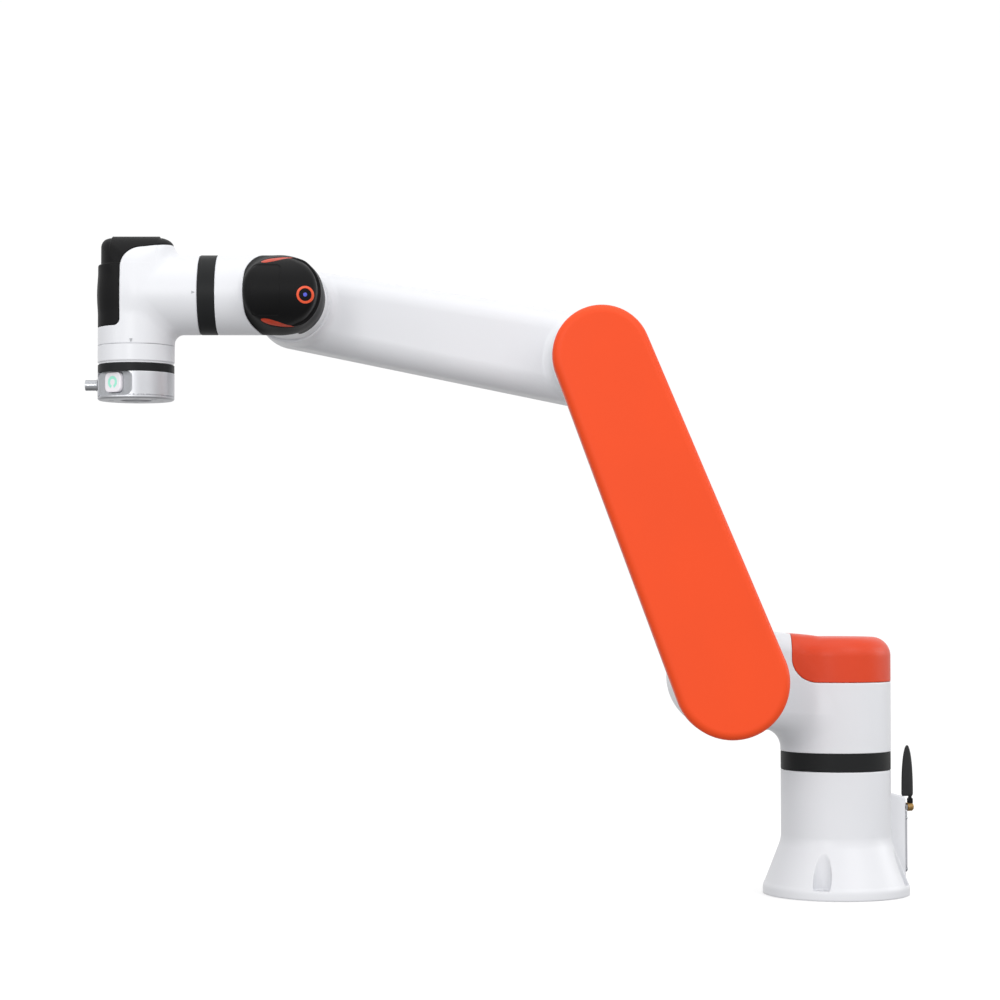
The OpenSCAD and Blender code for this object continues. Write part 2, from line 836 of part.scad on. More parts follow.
// Round plug socket that stands out on the side of the flange
module tool_connector() {
    color(steel) at_j6() translate([0, 0, flange_top + 12]) rotate([0, 0, 180]) rotate([0, 90, 0]) {
        difference() {
            union() {
                translate([0, 0, 26]) cylinder(r = 3.9, h = flange_radius - 25);
                translate([0, 0, flange_radius + 0.1]) cylinder(r = 5.4, h = 51 - flange_radius - 0.1);
            }
            translate([0, 0, 42]) cylinder(r = 3.6, h = 20);
        }
    }
}

// Bezel that guides the button
module button_frame() {
    color("#929397") at_j6() at_pad() difference() {
        button_block(button_size + 0.9, button_corner, pad_distance - 6, pad_distance + 0.6);
        button_block(button_size - 1.2 + 0.3, button_corner - 0.6, pad_distance - 4.5, pad_distance + 3);
    }
}

module teach_button() {
    color("#e5dde5") at_j6() at_pad() {
        button_block(button_size - 1.2, button_corner - 0.6, pad_distance - 2.4, pad_distance + button_stands);
    }
}

module j1_gear_unit() { at_j1() gear_unit(j1_radius); }
module j1_motor() { at_j1() motor_unit(j1_radius); }
module j1_rotor() { at_j1() rotor_unit(j1_radius); }
module j1_board() { at_j1() drive_board(j1_radius); }
module j1_output() { at_j1() output_unit(j1_radius); }
module j2_gear_unit() { at_j2() gear_unit(j2_radius); }
module j2_motor() { at_j2() motor_unit(j2_radius); }
module j2_rotor() { at_j2() rotor_unit(j2_radius); }
module j2_board() { at_j2() drive_board(j2_radius); }
module j2_output() { at_j2() output_unit(j2_radius); }
module j3_gear_unit() { at_j3() gear_unit(j3_radius); }
module j3_motor() { at_j3() motor_unit(j3_radius); }
module j3_rotor() { at_j3() rotor_unit(j3_radius); }
module j3_board() { at_j3() drive_board(j3_radius); }
module j3_output() { at_j3() output_unit(j3_radius); }
module j4_gear_unit() { at_j4() gear_unit(j4_radius); }
module j4_motor() { at_j4() motor_unit(j4_radius); }
module j4_rotor() { at_j4() rotor_unit(j4_radius); }
module j4_board() { at_j4() drive_board(j4_radius); }
module j4_output() { at_j4() output_unit(j4_radius); }
module j5_gear_unit() { at_j5() gear_unit(j5_radius); }
module j5_motor() { at_j5() motor_unit(j5_radius); }
module j5_rotor() { at_j5() rotor_unit(j5_radius); }
module j5_board() { at_j5() drive_board(j5_radius); }
module j5_output() { at_j5() output_unit(j5_radius); }
module j6_gear_unit() { at_j6() gear_unit(j6_radius); }
module j6_motor() { at_j6() motor_unit(j6_radius); }
module j6_rotor() { at_j6() rotor_unit(j6_radius); }
module j6_board() { at_j6() drive_board(j6_radius); }

base_casting();
base_plate();
connector_box();
connector_panel();
panel_screws();
panel_sockets();
antenna_connector();
j1_ring();
j1_gear_unit();
j1_motor();
j1_rotor();
j1_board();
antenna_knuckle();
antenna_blade();
shoulder_casting();
shoulder_cap();
shoulder_rear_cover();
j1_output();
j2_gear_unit();
j2_motor();
j2_rotor();
j2_board();
upper_arm_casting();
upper_arm_cover();
upper_arm_harness();
j2_output();
j3_gear_unit();
j3_motor();
j3_rotor();
j3_board();
forearm_casting();
forearm_rear_cover();
forearm_harness();
j3_output();
j4_gear_unit();
j4_motor();
j4_rotor();
j4_board();
wrist_1_casting();
wrist_1_hood();
hood_windows();
j5_ring();
j4_output();
j5_gear_unit();
j5_motor();
j5_rotor();
j5_board();
wrist_2_casting();
wrist_2_hood();
j5_output();
j6_gear_unit();
j6_motor();
j6_rotor();
j6_board();
j6_ring();
j6_output();
tool_flange();
tool_connector();
button_frame();
teach_button();
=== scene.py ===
import json
import math

import bmesh
import bpy
import numpy as np
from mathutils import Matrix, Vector


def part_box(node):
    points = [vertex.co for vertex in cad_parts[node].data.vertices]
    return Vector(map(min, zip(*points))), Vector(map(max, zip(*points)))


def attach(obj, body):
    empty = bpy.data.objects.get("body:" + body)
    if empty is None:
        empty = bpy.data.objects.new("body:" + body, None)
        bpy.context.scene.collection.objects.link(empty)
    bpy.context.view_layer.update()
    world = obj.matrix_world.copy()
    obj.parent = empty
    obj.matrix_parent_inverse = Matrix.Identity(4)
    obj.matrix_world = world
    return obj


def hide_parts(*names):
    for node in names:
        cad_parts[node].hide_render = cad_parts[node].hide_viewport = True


# Six-axis collaborative robot arm: the visible shells, rings, covers and fittings around the CAD frame.
# Shapes are worked out in millimetres, in a local frame for each link, and placed by the CAD's joints.

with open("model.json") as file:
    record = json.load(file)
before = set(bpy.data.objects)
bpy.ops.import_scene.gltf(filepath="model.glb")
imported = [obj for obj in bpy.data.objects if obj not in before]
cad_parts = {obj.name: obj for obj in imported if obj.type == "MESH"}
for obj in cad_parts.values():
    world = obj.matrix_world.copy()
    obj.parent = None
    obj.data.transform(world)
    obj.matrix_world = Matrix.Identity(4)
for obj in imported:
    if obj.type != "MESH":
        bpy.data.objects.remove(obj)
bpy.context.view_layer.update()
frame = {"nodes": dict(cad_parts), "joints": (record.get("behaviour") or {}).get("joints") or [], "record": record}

MM = 0.001  # scene units in a millimetre
COARSE = 1.0
SEAM = 0.3  # visible gap between shells that meet
SHARP = math.radians(32)  # turned and flat pieces keep a crease above this angle
CORNER_POINTS = 4  # along the arc of a turned profile's corner
ARC_POINTS = 64  # along a printed arc


# ---- Places: local frames, in millimetres ----

RIGHT, FAR, UP = (1, 0, 0), (0, 1, 0), (0, 0, 1)
LEFT, NEAR, DOWN = (-1, 0, 0), (0, -1, 0), (0, 0, -1)


class Place:
    """A local frame. The rows of its axes are unit vectors in the scene's frame."""

    def __init__(self, origin, x_axis, z_axis):
        self.origin = np.array(origin, float)
        x = np.array(x_axis, float) / np.linalg.norm(x_axis)
        z = np.array(z_axis, float) / np.linalg.norm(z_axis)
        self.axes = np.array([x, np.cross(z, x), z])

    def world(self, points):
        return self.origin + np.asarray(points, float) @ self.axes

    def turn(self, directions):
        return np.asarray(directions, float) @ self.axes

    def at(self, point, x_axis=RIGHT, z_axis=UP):
        """A frame inside this one."""
        return Place(self.world(point), self.turn(x_axis), self.turn(z_axis))


def corners(node):
    """Lowest and highest corner of a CAD node, in millimetres."""
    low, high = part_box(node)
    return np.array(low) / MM, np.array(high) / MM


JOINT = {j["name"]: np.array(j["pos_m"]) / MM for j in frame["joints"] if "pos_m" in j}
j1, j2, j3 = JOINT["j1_base"], JOINT["j2_shoulder"], JOINT["j3_elbow"]
j4, j5, j6 = JOINT["j4_wrist_1"], JOINT["j5_wrist_2"], JOINT["j6_tool"]
panel_low, panel_high = corners("connector_panel")
panel_centre = (panel_low + panel_high) / 2

base_place = Place((0, 0, 0), (panel_centre[0], panel_centre[1], 0), UP)
shoulder_place = Place((0, 0, 0), RIGHT, UP)
shoulder_side = Place(j2, RIGHT, NEAR)
upper_place = Place(j2, j3 - j2, NEAR)
forearm_place = Place(j3, j4 - j3, FAR)
wrist_1_place = Place(j4, LEFT, NEAR)
ring_place = Place(j5, UP, LEFT)
wrist_2_place = Place(j6, RIGHT, UP)
tool_place = Place(j6, RIGHT, DOWN)


# ---- Distance fields: negative inside a shape ----

def meet(a, b, edge=0.0):
    """Both shapes at once, with a rounded edge where their faces meet."""
    rounding = np.hypot(np.maximum(edge + a, 0), np.maximum(edge + b, 0))
    return np.minimum(-edge, np.maximum(a, b)) + rounding


def join(a, b, fillet=0.0):
    """Either shape, with a fillet where their faces meet."""
    rounding = np.hypot(np.maximum(fillet - a, 0), np.maximum(fillet - b, 0))
    return np.maximum(fillet, np.minimum(a, b)) - rounding


def cut(a, b, edge=0.0):
    """The first shape without the second."""
    return meet(a, -b, edge)


def either(*shapes):
    return np.minimum.reduce(shapes)


def slab(w, low, high):
    return np.maximum(low - w, w - high)


def disc(u, v, radius):
    return np.hypot(u, v) - radius


def drill(body, u, v, places, radius, edge=0.0, floor=-math.inf):
    """The body with a round hole at each place. floor is positive where the holes don't reach."""
    for pu, pv in places:
        body = cut(body, meet(disc(u - pu, v - pv, radius), floor), edge)
    return body


def rectangle(u, v, half_u, half_v, corner=0.0):
    return meet(np.abs(u) - half_u, np.abs(v) - half_v, corner)


def taper(u, v, length, first, last):
    """Outline around a circle at the origin and another one along u."""
    lean = (first - last) / length
    side = math.sqrt(1 - lean * lean)
    across = np.abs(v)
    along = side * u - lean * across
    middle = side * across + lean * u - first
    ends = np.where(along < 0, disc(u, v, first), disc(u - length, v, last))
    return np.where((along < 0) | (along > side * length), ends, middle)


def around(count, radius, first=0.0):
    """Points spaced evenly on a circle."""
    angles = math.radians(first) + 2 * math.pi * np.arange(count) / count
    return [(radius * math.cos(a), radius * math.sin(a)) for a in angles]


def gradient(field, points, step):
    """Unit direction in which the field grows, from four samples around each point."""
    total = np.zeros_like(points)
    for corner in ((1, -1, -1), (-1, -1, 1), (-1, 1, -1), (1, 1, 1)):
        total += np.outer(field(points + step * np.array(corner)), corner)
    return total / np.maximum(np.linalg.norm(total, axis=1, keepdims=True), 1e-12)


# ---- Meshes from fields: one point in each cell, placed where the face planes around it meet ----

def crossings(field, values, low, cell, axis):
    """Where the surface crosses the grid lines along one axis: its points, and the quads around them."""
    near = [slice(None)] * 3
    far = [slice(None)] * 3
    near[axis] = slice(None, -1)
    far[axis] = slice(1, None)
    a, b = values[tuple(near)], values[tuple(far)]
    starts = np.argwhere((a < 0) != (b < 0))
    a, b = a[tuple(starts.T)], b[tuple(starts.T)]
    inside = a < 0
    first, last = np.zeros(len(a)), np.ones(len(a))
    share = a / (a - b)
    step = np.eye(3)[axis]
    for _ in range(2):
        found = field(low + cell * (starts + share[:, None] * step))
        same = (found < 0) == inside
        first, a = np.where(same, share, first), np.where(same, found, a)
        last, b = np.where(same, last, share), np.where(same, b, found)
        share = first + (last - first) * a / (a - b)
    points = low + cell * (starts + share[:, None] * step)
    side, other = np.eye(3, dtype=int)[(axis + 1) % 3], np.eye(3, dtype=int)[(axis + 2) % 3]
    loop = np.stack([starts, starts - side, starts - side - other, starts - other], 1)
    loop[~inside] = loop[~inside][:, ::-1]
    return points, loop


def sum_by(keys, count, columns):
    return np.stack([np.bincount(keys, c, count) for c in columns.T], 1)


def surface(field, low, high, cell):
    """Points, quads and corner normals of a field's surface."""
    low = np.array(low, float) - 1.6 * cell
    counts = np.ceil((np.array(high, float) - low) / cell + 1.6).astype(int) + 1
    grid = np.stack(np.meshgrid(*[np.arange(n) for n in counts], indexing="ij"), -1)
    values = field(low + cell * grid.reshape(-1, 3)).reshape(counts)
    parts = [crossings(field, values, low, cell, axis) for axis in range(3)]
    points = np.concatenate([p for p, _ in parts])
    loops = np.concatenate([q for _, q in parts])
    normals = gradient(field, points, cell * 0.02)
    keys, quads = np.unique(np.ravel_multi_index(loops.reshape(-1, 3).T, counts), return_inverse=True)
    quads = quads.reshape(-1, 4)
    count = len(keys)
    around_cell = quads.ravel()
    p, n = np.repeat(points, 4, 0), np.repeat(normals, 4, 0)
    number = np.bincount(around_cell, minlength=count)[:, None]
    mean = sum_by(around_cell, count, p) / number
    facing = sum_by(around_cell, count, n) / number
    outer = sum_by(around_cell, count, (n[:, :, None] * n[:, None, :]).reshape(-1, 9)).reshape(-1, 3, 3)
    away = np.sum(n * (p - mean[around_cell]), 1, keepdims=True)
    right = sum_by(around_cell, count, n * away)
    matrix = outer + 0.01 * number[:, :, None] * np.eye(3)
    vertices = mean + np.linalg.solve(matrix, right[:, :, None])[:, :, 0]
    corner = low + cell * np.stack(np.unravel_index(keys, counts), 1)
    vertices = np.clip(vertices, corner, corner + cell)
    smooth = gradient(field, vertices, cell * 0.05)
    vertices -= smooth * np.clip(field(vertices), -0.3 * cell, 0.3 * cell)[:, None]
    return vertices, quads, corner_normals(field, vertices, quads, smooth, facing, cell)


def corner_normals(field, vertices, quads, smooth, facing, cell):
    """The field's direction at each point, and at a crease the direction of the face beside it."""
    normals = smooth[quads]
    crease = np.linalg.norm(facing, axis=1) < 0.985
    beside = np.any(crease[quads], 1)
    square = vertices[quads[beside]]
    spots = 0.65 * square + 0.35 * square.mean(1, keepdims=True)
    own = gradient(field, spots.reshape(-1, 3), cell * 0.05).reshape(-1, 4, 3)
    chosen = normals[beside]
    turned_away = np.sum(chosen * own, 2) < math.cos(math.radians(24))
    chosen[turned_away] = own[turned_away]
    normals[beside] = chosen
    return normals


def add_object(name, mesh):
    piece = bpy.data.objects.new(name, mesh)
    bpy.context.scene.collection.objects.link(piece)
    return piece


def shell(name, place, field, low, high, cell):
    """A piece from a distance field in a place's own frame."""
    vertices, quads, normals = surface(lambda p: field(*p.T), low, high, cell * COARSE)
    mesh = bpy.data.meshes.new(name)
    mesh.from_pydata((place.world(vertices) * MM).tolist(), [], quads.tolist(), shade_flat=False)
    mesh.normals_split_custom_set(place.turn(normals.reshape(-1, 3)).tolist())
    return add_object(name, mesh)


# ---- Turned pieces ----

def rounded(profile, radius):
    """A closed profile with each corner off the axis replaced by an arc."""
    made = []
    for i, point in enumerate(profile):
        here = np.array(point, float)
        before = np.array(profile[i - 1], float) - here
        after = np.array(profile[(i + 1) % len(profile)], float) - here
        reach = min(radius, 0.45 * np.linalg.norm(before), 0.45 * np.linalg.norm(after))
        if point[0] == 0 or reach < 1e-6:
            made.append(here)
            continue
        start = here + before / np.linalg.norm(before) * reach
        end = here + after / np.linalg.norm(after) * reach
        for t in np.linspace(0, 1, CORNER_POINTS):
            made.append((1 - t) ** 2 * start + 2 * t * (1 - t) * here + t ** 2 * end)
    return made


def band(inner, outer, low, high):
    """Profile of a plain ring."""
    return [(inner, low), (outer, low), (outer, high), (inner, high)]


def hexagon_factor(angle):
    """How far a hexagon's edge lies from its centre, as a share of its inner radius."""
    return 1 / math.cos((angle + math.pi / 6) % (math.pi / 3) - math.pi / 6)


def turned(name, place, profile, radius, segments, centres=((0, 0),), hexagon_below=0.0):
    """A piece made by turning a closed profile of (radius, height) about Z, once at each centre.
    Where the radius is under hexagon_below, the turned wall becomes a hexagon."""
    outline = rounded(profile, radius)
    made = bmesh.new()
    for centre in centres:
        rings = []
        for angle in 2 * math.pi * np.arange(segments) / segments:
            ring = []
            for r, z in outline:
                if 0 < r < hexagon_below:
                    r *= hexagon_factor(angle)
                spot = np.array([r * math.cos(angle), r * math.sin(angle), z]) + (*centre, 0)
                ring.append(made.verts.new(place.world(spot) * MM))
            rings.append(ring)
        for ring, following in zip(rings, rings[1:] + rings[:1]):
            for i in range(len(outline)):
                made.faces.new((ring[i - 1], ring[i], following[i], following[i - 1]))
    bmesh.ops.remove_doubles(made, verts=made.verts, dist=1e-7)
    loose = [f for f in made.faces if f.calc_area() < 1e-14]
    bmesh.ops.delete(made, geom=loose, context="FACES_ONLY")
    return finish_mesh(name, made)


def finish_mesh(name, made):
    """Closes a bmesh into a piece with clean shading."""
    bmesh.ops.recalc_face_normals(made, faces=made.faces)
    mesh = bpy.data.meshes.new(name)
    made.to_mesh(mesh)
    made.free()
    mesh.polygons.foreach_set("use_smooth", [True] * len(mesh.polygons))
    mesh.set_sharp_from_angle(angle=SHARP)
    piece = add_object(name, mesh)
    piece.modifiers.new("even_shading", "WEIGHTED_NORMAL").keep_sharp = True
    return piece


def prism(name, place, outline, low, high):
    """A flat piece from an outline of (x, y) points."""
    made = bmesh.new()
    rings = [[made.verts.new(place.world((x, y, z)) * MM) for x, y in outline] for z in (low, high)]
    for i in range(len(outline)):
        made.faces.new((rings[0][i - 1], rings[0][i], rings[1][i], rings[1][i - 1]))
    made.faces.new(rings[0][::-1])
    made.faces.new(rings[1])
    return finish_mesh(name, made)


def arc_band(name, place, inner, outer, low, high, start, end):
    """Part of a flat ring, between two angles in degrees."""
    angles = np.radians(np.linspace(start, end, ARC_POINTS))
    outline = [(outer * math.cos(a), outer * math.sin(a)) for a in angles]
    outline += [(inner * math.cos(a), inner * math.sin(a)) for a in angles[::-1]]
    return prism(name, place, outline, low, high)


# ---- Materials ----

def linear(red, green, blue):
    """A colour given as eight-bit screen values, in linear light."""
    shares = [v / 255 for v in (red, green, blue)]
    return [s / 12.92 if s <= 0.04045 else ((s + 0.055) / 1.055) ** 2.4 for s in shares]


class Nodes:
    """Short ways to add and link nodes in a material's or the world's tree."""

    def __init__(self, owner):
        owner.use_nodes = True
        self.tree = owner.node_tree

    def add(self, kind, **settings):
        node = self.tree.nodes.new("ShaderNode" + kind)
        for key, value in settings.items():
            setattr(node, key, value)
        return node

    def link(self, output, socket):
        self.tree.links.new(output, socket)

    def spread(self, value, low, high, first=0.3, last=0.7, **settings):
        node = self.add("MapRange", **settings)
        for socket, number in zip(node.inputs[1:5], (first, last, low, high)):
            socket.default_value = number
        self.link(value, node.inputs["Value"])
        return node.outputs["Result"]

    def total(self, first, second):
        node = self.add("Math", operation="ADD")
        self.link(first, node.inputs[0])
        self.link(second, node.inputs[1])
        return node.outputs[0]


class Finish(Nodes):
    """A material's nodes, around its shader and the piece's own coordinates."""

    def __init__(self, name):
        self.material = bpy.data.materials.new(name)
        super().__init__(self.material)
        self.shader = self.tree.nodes["Principled BSDF"]
        self.spot = self.add("TexCoord").outputs["Object"]

    def constants(self, **values):
        for socket, value in values.items():
            self.shader.inputs[socket.replace("_", " ")].default_value = value

    def noise(self, scale, detail=3.0, stretch=(1, 1, 1)):
        mapping = self.add("Mapping")
        mapping.inputs["Scale"].default_value = stretch
        self.link(self.spot, mapping.inputs["Vector"])
        node = self.add("TexNoise")
        node.inputs["Scale"].default_value = scale
        node.inputs["Detail"].default_value = detail
        self.link(mapping.outputs["Vector"], node.inputs["Vector"])
        return node.outputs["Fac"]

    def colour(self, value, first, second):
        node = self.add("Mix", data_type="RGBA")
        self.link(value, node.inputs["Factor"])
        node.inputs["A"].default_value = (*first, 1)
        node.inputs["B"].default_value = (*second, 1)
        self.link(node.outputs["Result"], self.shader.inputs["Base Color"])

    def bump(self, height, distance):
        node = self.add("Bump")
        node.inputs["Distance"].default_value = distance
        self.link(height, node.inputs["Height"])
        self.link(node.outputs["Normal"], self.shader.inputs["Normal"])


def surface_of(name, colour, roughness, variation, patch, grain, relief, stretch=(1, 1, 1),
               rough_swing=0.05, metallic=0.0, specular=0.5, coat=0.0, coat_roughness=0.03):
    """A shader with slow colour and roughness changes and a fine moulded, cast or brushed relief.
    patch and grain are noise scales per metre, and relief is in millimetres."""
    nodes = Finish(name)
    nodes.constants(Metallic=metallic, Specular_IOR_Level=specular, Coat_Weight=coat,
                    Coat_Roughness=coat_roughness)
    slow = nodes.spread(nodes.noise(patch, 4.0), 0.0, 1.0)
    fine = nodes.noise(grain, 2.0, stretch)
    shares = (1 - variation, 1 + variation)
    darker, lighter = [[min(c * share, 1.0) for c in linear(*colour)] for share in shares]
    nodes.colour(slow, darker, lighter)
    mixed = nodes.total(nodes.spread(fine, -0.5, 0.5), slow)
    rough = nodes.spread(mixed, roughness - rough_swing, roughness + rough_swing, 0.0, 1.0)
    nodes.link(rough, nodes.shader.inputs["Roughness"])
    nodes.bump(fine, relief * MM)
    return nodes.material


# One material for each finish, keyed by its slot
MATERIALS = {
    "white_casting": surface_of("white_paint", (224, 225, 229), 0.38, 0.012, 9, 1900, 0.012,
                                coat=0.15, coat_roughness=0.25),
    "orange_cover": surface_of("orange_shell", (240, 76, 24), 0.5, 0.02, 11, 2400, 0.014, specular=0.3),
    "orange_cap": surface_of("orange_cap_shell", (216, 63, 20), 0.42, 0.03, 14, 2400, 0.014, specular=0.4),
    "orange_window": surface_of("orange_lens", (196, 62, 34), 0.35, 0.25, 120, 900, 0.01, specular=0.3),
    "black_plastic": surface_of("black_shell", (19, 19, 20), 0.5, 0.12, 18, 3000, 0.02, specular=0.12),
    "black_rubber": surface_of("black_whip", (36, 36, 37), 0.5, 0.15, 60, 3000, 0.02, specular=0.25),
    "black_seal": surface_of("black_ring", (30, 31, 32), 0.45, 0.10, 25, 2200, 0.02, specular=0.15),
    "cable_sleeve": surface_of("woven_sleeve", (24, 24, 27), 0.7, 0.3, 300, 1400, 0.15),
    "circuit_board": surface_of("board_lacquer", (22, 96, 58), 0.3, 0.25, 420, 1500, 0.03),
    "motor_copper": surface_of("copper_windings", (176, 104, 62), 0.35, 0.2, 500, 2500, 0.06,
                               (1, 1, 6), metallic=1.0),
    "brass": surface_of("brass_knurl", (172, 138, 88), 0.35, 0.2, 300, 1100, 0.08, metallic=1.0),
    "bare_aluminium": surface_of("turned_aluminium", (208, 209, 213), 0.44, 0.03, 40, 500,
                                 0.0006, (0.05, 0.05, 6), 0.03, metallic=1.0),
    "steel": surface_of("machined_steel", (176, 178, 182), 0.3, 0.08, 90, 1600, 0.01,
                        (1, 1, 4), metallic=1.0),
    "button_plastic": surface_of("button_shell", (240, 236, 241), 0.3, 0.02, 60, 2600, 0.006,
                                 coat=0.3, coat_roughness=0.15),
    "milled_face": surface_of("blasted_aluminium", (190, 192, 196), 0.5, 0.16, 1300, 4000, 0.03,
                              rough_swing=0.08, metallic=1.0),
    "mint_mark": surface_of("mint_print", (160, 238, 214), 0.35, 0.03, 200, 3000, 0.004),
    "orange_mark": surface_of("orange_print", (236, 86, 46), 0.4, 0.04, 300, 3000, 0.004),
    "blue_light": surface_of("blue_lens", (84, 92, 214), 0.2, 0.08, 500, 3000, 0.004, coat=0.5),
    "grey_mark": surface_of("grey_print", (168, 170, 174), 0.5, 0.05, 400, 3000, 0.004),
}


def dress(piece, body, slot, replaced=None, finish=None):
    """Gives a piece its material and its body, and hides the CAD node that it stands for."""
    piece.data.materials.append(MATERIALS[finish or slot])
    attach(piece, body)
    if replaced:
        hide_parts(replaced)


def screw_heads(name, place, centres, body, head, height):
    """Socket-head screws, seen from outside."""
    key = head * 0.48
    profile = [(0, -4), (head, -4), (head, height), (key, height), (key, height * 0.25), (0, height * 0.25)]
    piece = turned(name, place, profile, 0.35, 48, centres, key * 1.05)
    dress(piece, body, "steel")


# ---- Camera, floor and light, in metres ----

FLOOR_HALF = 30
FLOOR_GAP = 0.0005  # under the foot
WHITE = (1, 1, 1, 1)


def make_camera():
    """Looks along +Y from the front, a little upwards, as in a long-lens product picture."""
    data = bpy.data.cameras.new("camera")
    data.lens = 90.7
    data.sensor_width = 36
    camera = bpy.data.objects.new("camera", data)
    camera.location = (-0.3546, -2.671, 0.318)
    camera.rotation_euler = (math.radians(92.075), 0, 0)
    bpy.context.scene.collection.objects.link(camera)
    bpy.context.scene.camera = camera


def make_floor():
    made = bmesh.new()
    bmesh.ops.create_grid(made, x_segments=4, y_segments=4, size=FLOOR_HALF)
    mesh = bpy.data.meshes.new("floor")
    made.to_mesh(mesh)
    made.free()
    floor = add_object("floor", mesh)
    floor.location.z = -FLOOR_GAP
    nodes = Finish("pale_floor")
    nodes.colour(nodes.spread(nodes.noise(0.7), 0.0, 1.0), (0.49,) * 3, (0.51,) * 3)
    nodes.constants(Roughness=0.9, Specular_IOR_Level=0.1, Emission_Color=WHITE, Emission_Strength=0.55)
    mesh.materials.append(nodes.material)
    floor.visible_diffuse = False
    floor.visible_glossy = False


def make_area(name, place, target, width, height, power):
    data = bpy.data.lights.new(name, "AREA")
    data.shape = "RECTANGLE"
    data.size, data.size_y = width, height
    data.energy = power
    light = bpy.data.objects.new(name, data)
    light.location = place
    light.rotation_euler = (Vector(target) - Vector(place)).to_track_quat("-Z", "Y").to_euler()
    light.visible_camera = False
    bpy.context.scene.collection.objects.link(light)


def make_world():
    """Brighter above, behind and in front, and darker below. The camera sees it plain white."""
    world = bpy.data.worlds.new("studio")
    bpy.context.scene.world = world
    nodes = Nodes(world)
    split = nodes.add("SeparateXYZ")
    nodes.link(nodes.add("TexCoord").outputs["Generated"], split.inputs[0])
    up = ("Z", 0.26, 0.8, -0.45, 0.6)
    behind = ("Y", 0.0, 0.4, 0.35, 0.9)
    front = ("Y", 0.43, 0.0, -0.9, 0.1)
    parts = [nodes.spread(split.outputs[axis], *ramp, interpolation_type="SMOOTHSTEP")
             for axis, *ramp in (up, behind, front)]
    sky = nodes.tree.nodes["Background"]
    seen = nodes.add("Background")
    sky.inputs["Color"].default_value = seen.inputs["Color"].default_value = WHITE
    nodes.link(nodes.total(nodes.total(parts[0], parts[1]), parts[2]), sky.inputs["Strength"])
    seen.inputs["Strength"].default_value = 1.02
    mixed = nodes.add("MixShader")
    sources = (nodes.add("LightPath").outputs["Is Camera Ray"], sky.outputs[0], seen.outputs[0])
    for source, socket in zip(sources, mixed.inputs):
        nodes.link(source, socket)
    nodes.link(mixed.outputs[0], nodes.tree.nodes["World Output"].inputs["Surface"])


def make_lights():
    """Large softboxes: place, target, width, height and power of each."""
    make_area("top_softbox", (-0.3, -0.3, 2.6), (-0.3, 0, 0.35), 2.4, 1.8, 10)
    make_area("front_softbox", (-1.25, -2.7, 1.0), (-0.6, 0, 0.5), 0.35, 1.2, 10)
    make_area("left_softbox", (-2.5, -1.6, 1.1), (-0.7, 0, 0.5), 0.9, 1.2, 6)
    make_area("right_softbox", (1.2, -2.0, 2.0), (0, 0, 0.2), 1.2, 1.2, 10)
    make_area("side_softbox", (2.4, 0.5, 0.9), (0, 0, 0.3), 1.2, 1.2, 12)


# ---- Base ----

seal_low, seal_high = corners("j1_ring")
column_radius = (seal_high - seal_low)[0] / 2
column_top = seal_low[2]
foot_radius = corners("base_casting")[1][0]
rim_height = 10
flare_top = 57
flare_foot = foot_radius - 1
flare_slope = (flare_foot - column_radius) / (flare_top - rim_height)
pocket_places = around(4, 71, 45)
pocket_radius = 9.5
bolt_places = around(4, 68, 45)
bolt_hole = 4.5
wall = 4.5
box_face = 74
box_half = 23
panel_middle = (panel_low[2] + panel_high[2]) / 2
# Y, Z and radius of each socket in the panel: power, network, signals and stop
sockets = {"power": (0, 36, 8), "network": (-8.5, 57, 6), "signal": (8.5, 57, 6), "stop": (0, 73, 5)}
socket_places = [(side, height - panel_middle, radius) for side, height, radius in sockets.values()]
pin_counts = {"power": 4, "network": 8, "signal": 5, "stop": 4}
panel_place = base_place.at((box_face, 0, panel_middle), NEAR, RIGHT)
screw_places = [(side * 20, height - panel_middle) for side in (-1, 1) for height in (25, 79)]
antenna_y = -18
antenna_z = 89


def base_outside(x, y, z):
    radial = np.hypot(x, y)
    column = meet(radial - column_radius, z - column_top + SEAM / 2, 0.7)
    flare = (radial - flare_foot + flare_slope * (z - rim_height)) / math.hypot(1, flare_slope)
    rim = meet(radial - foot_radius, z - rim_height, 3)
    body = join(join(column, meet(flare, z - column_top), 2), rim, 3)
    for px, py in pocket_places:
        pocket = meet(disc(x - px, y - py, pocket_radius), rim_height - z, 0.8)
        body = cut(body, pocket, 0.6)
    return meet(meet(body, radial - foot_radius, 2), -z, 0.6)


def base_casting(x, y, z):
    radial = np.hypot(x, y)
    inner = column_radius - wall
    window = np.maximum(slab(x, inner - 5, 72), rectangle(y, z - 52, 12, 26))
    hollow = either(meet(radial - inner, 3 - z), meet(radial - inner - 2, z - 3), window)
    for px, py in bolt_places:
        hollow = np.minimum(hollow, disc(x - px, y - py, bolt_hole))
    body = cut(base_outside(x, y, z), hollow, 0.4)
    seat = np.maximum(slab(radial, inner - 5.5, inner + 1), slab(z, column_top - 8, column_top - 4))
    return np.minimum(body, seat)


def connector_box(x, y, z):
    top = corners("connector_box")[1][2]
    slope = 0.28 * (box_face - x)
    block = meet(meet(x - box_face, np.abs(y) - box_half, 2.6), slab(z, 14, top + slope), 2.6)
    block = cut(block, disc(x, y, column_radius) + 1.5)
    hollow = np.maximum(rectangle(y, z - 52, 18, 28, 2), 40 - x)
    return cut(cut(block, hollow, 0.5), disc(y - antenna_y, z - antenna_z, 3.3))


def panel_plate(x, y, z):
    """The panel in its own frame: X across, Y up and Z outwards from the box's face."""
    plate = meet(rectangle(x, y + 2.5, 22.4, 33.5, 3), slab(z, 0.05, 1.6), 0.35)
    for side, height, radius in socket_places:
        plate = cut(plate, disc(x + side, y - height, radius + 0.15), 0.2)
    return drill(plate, x, y, screw_places, 2.7)


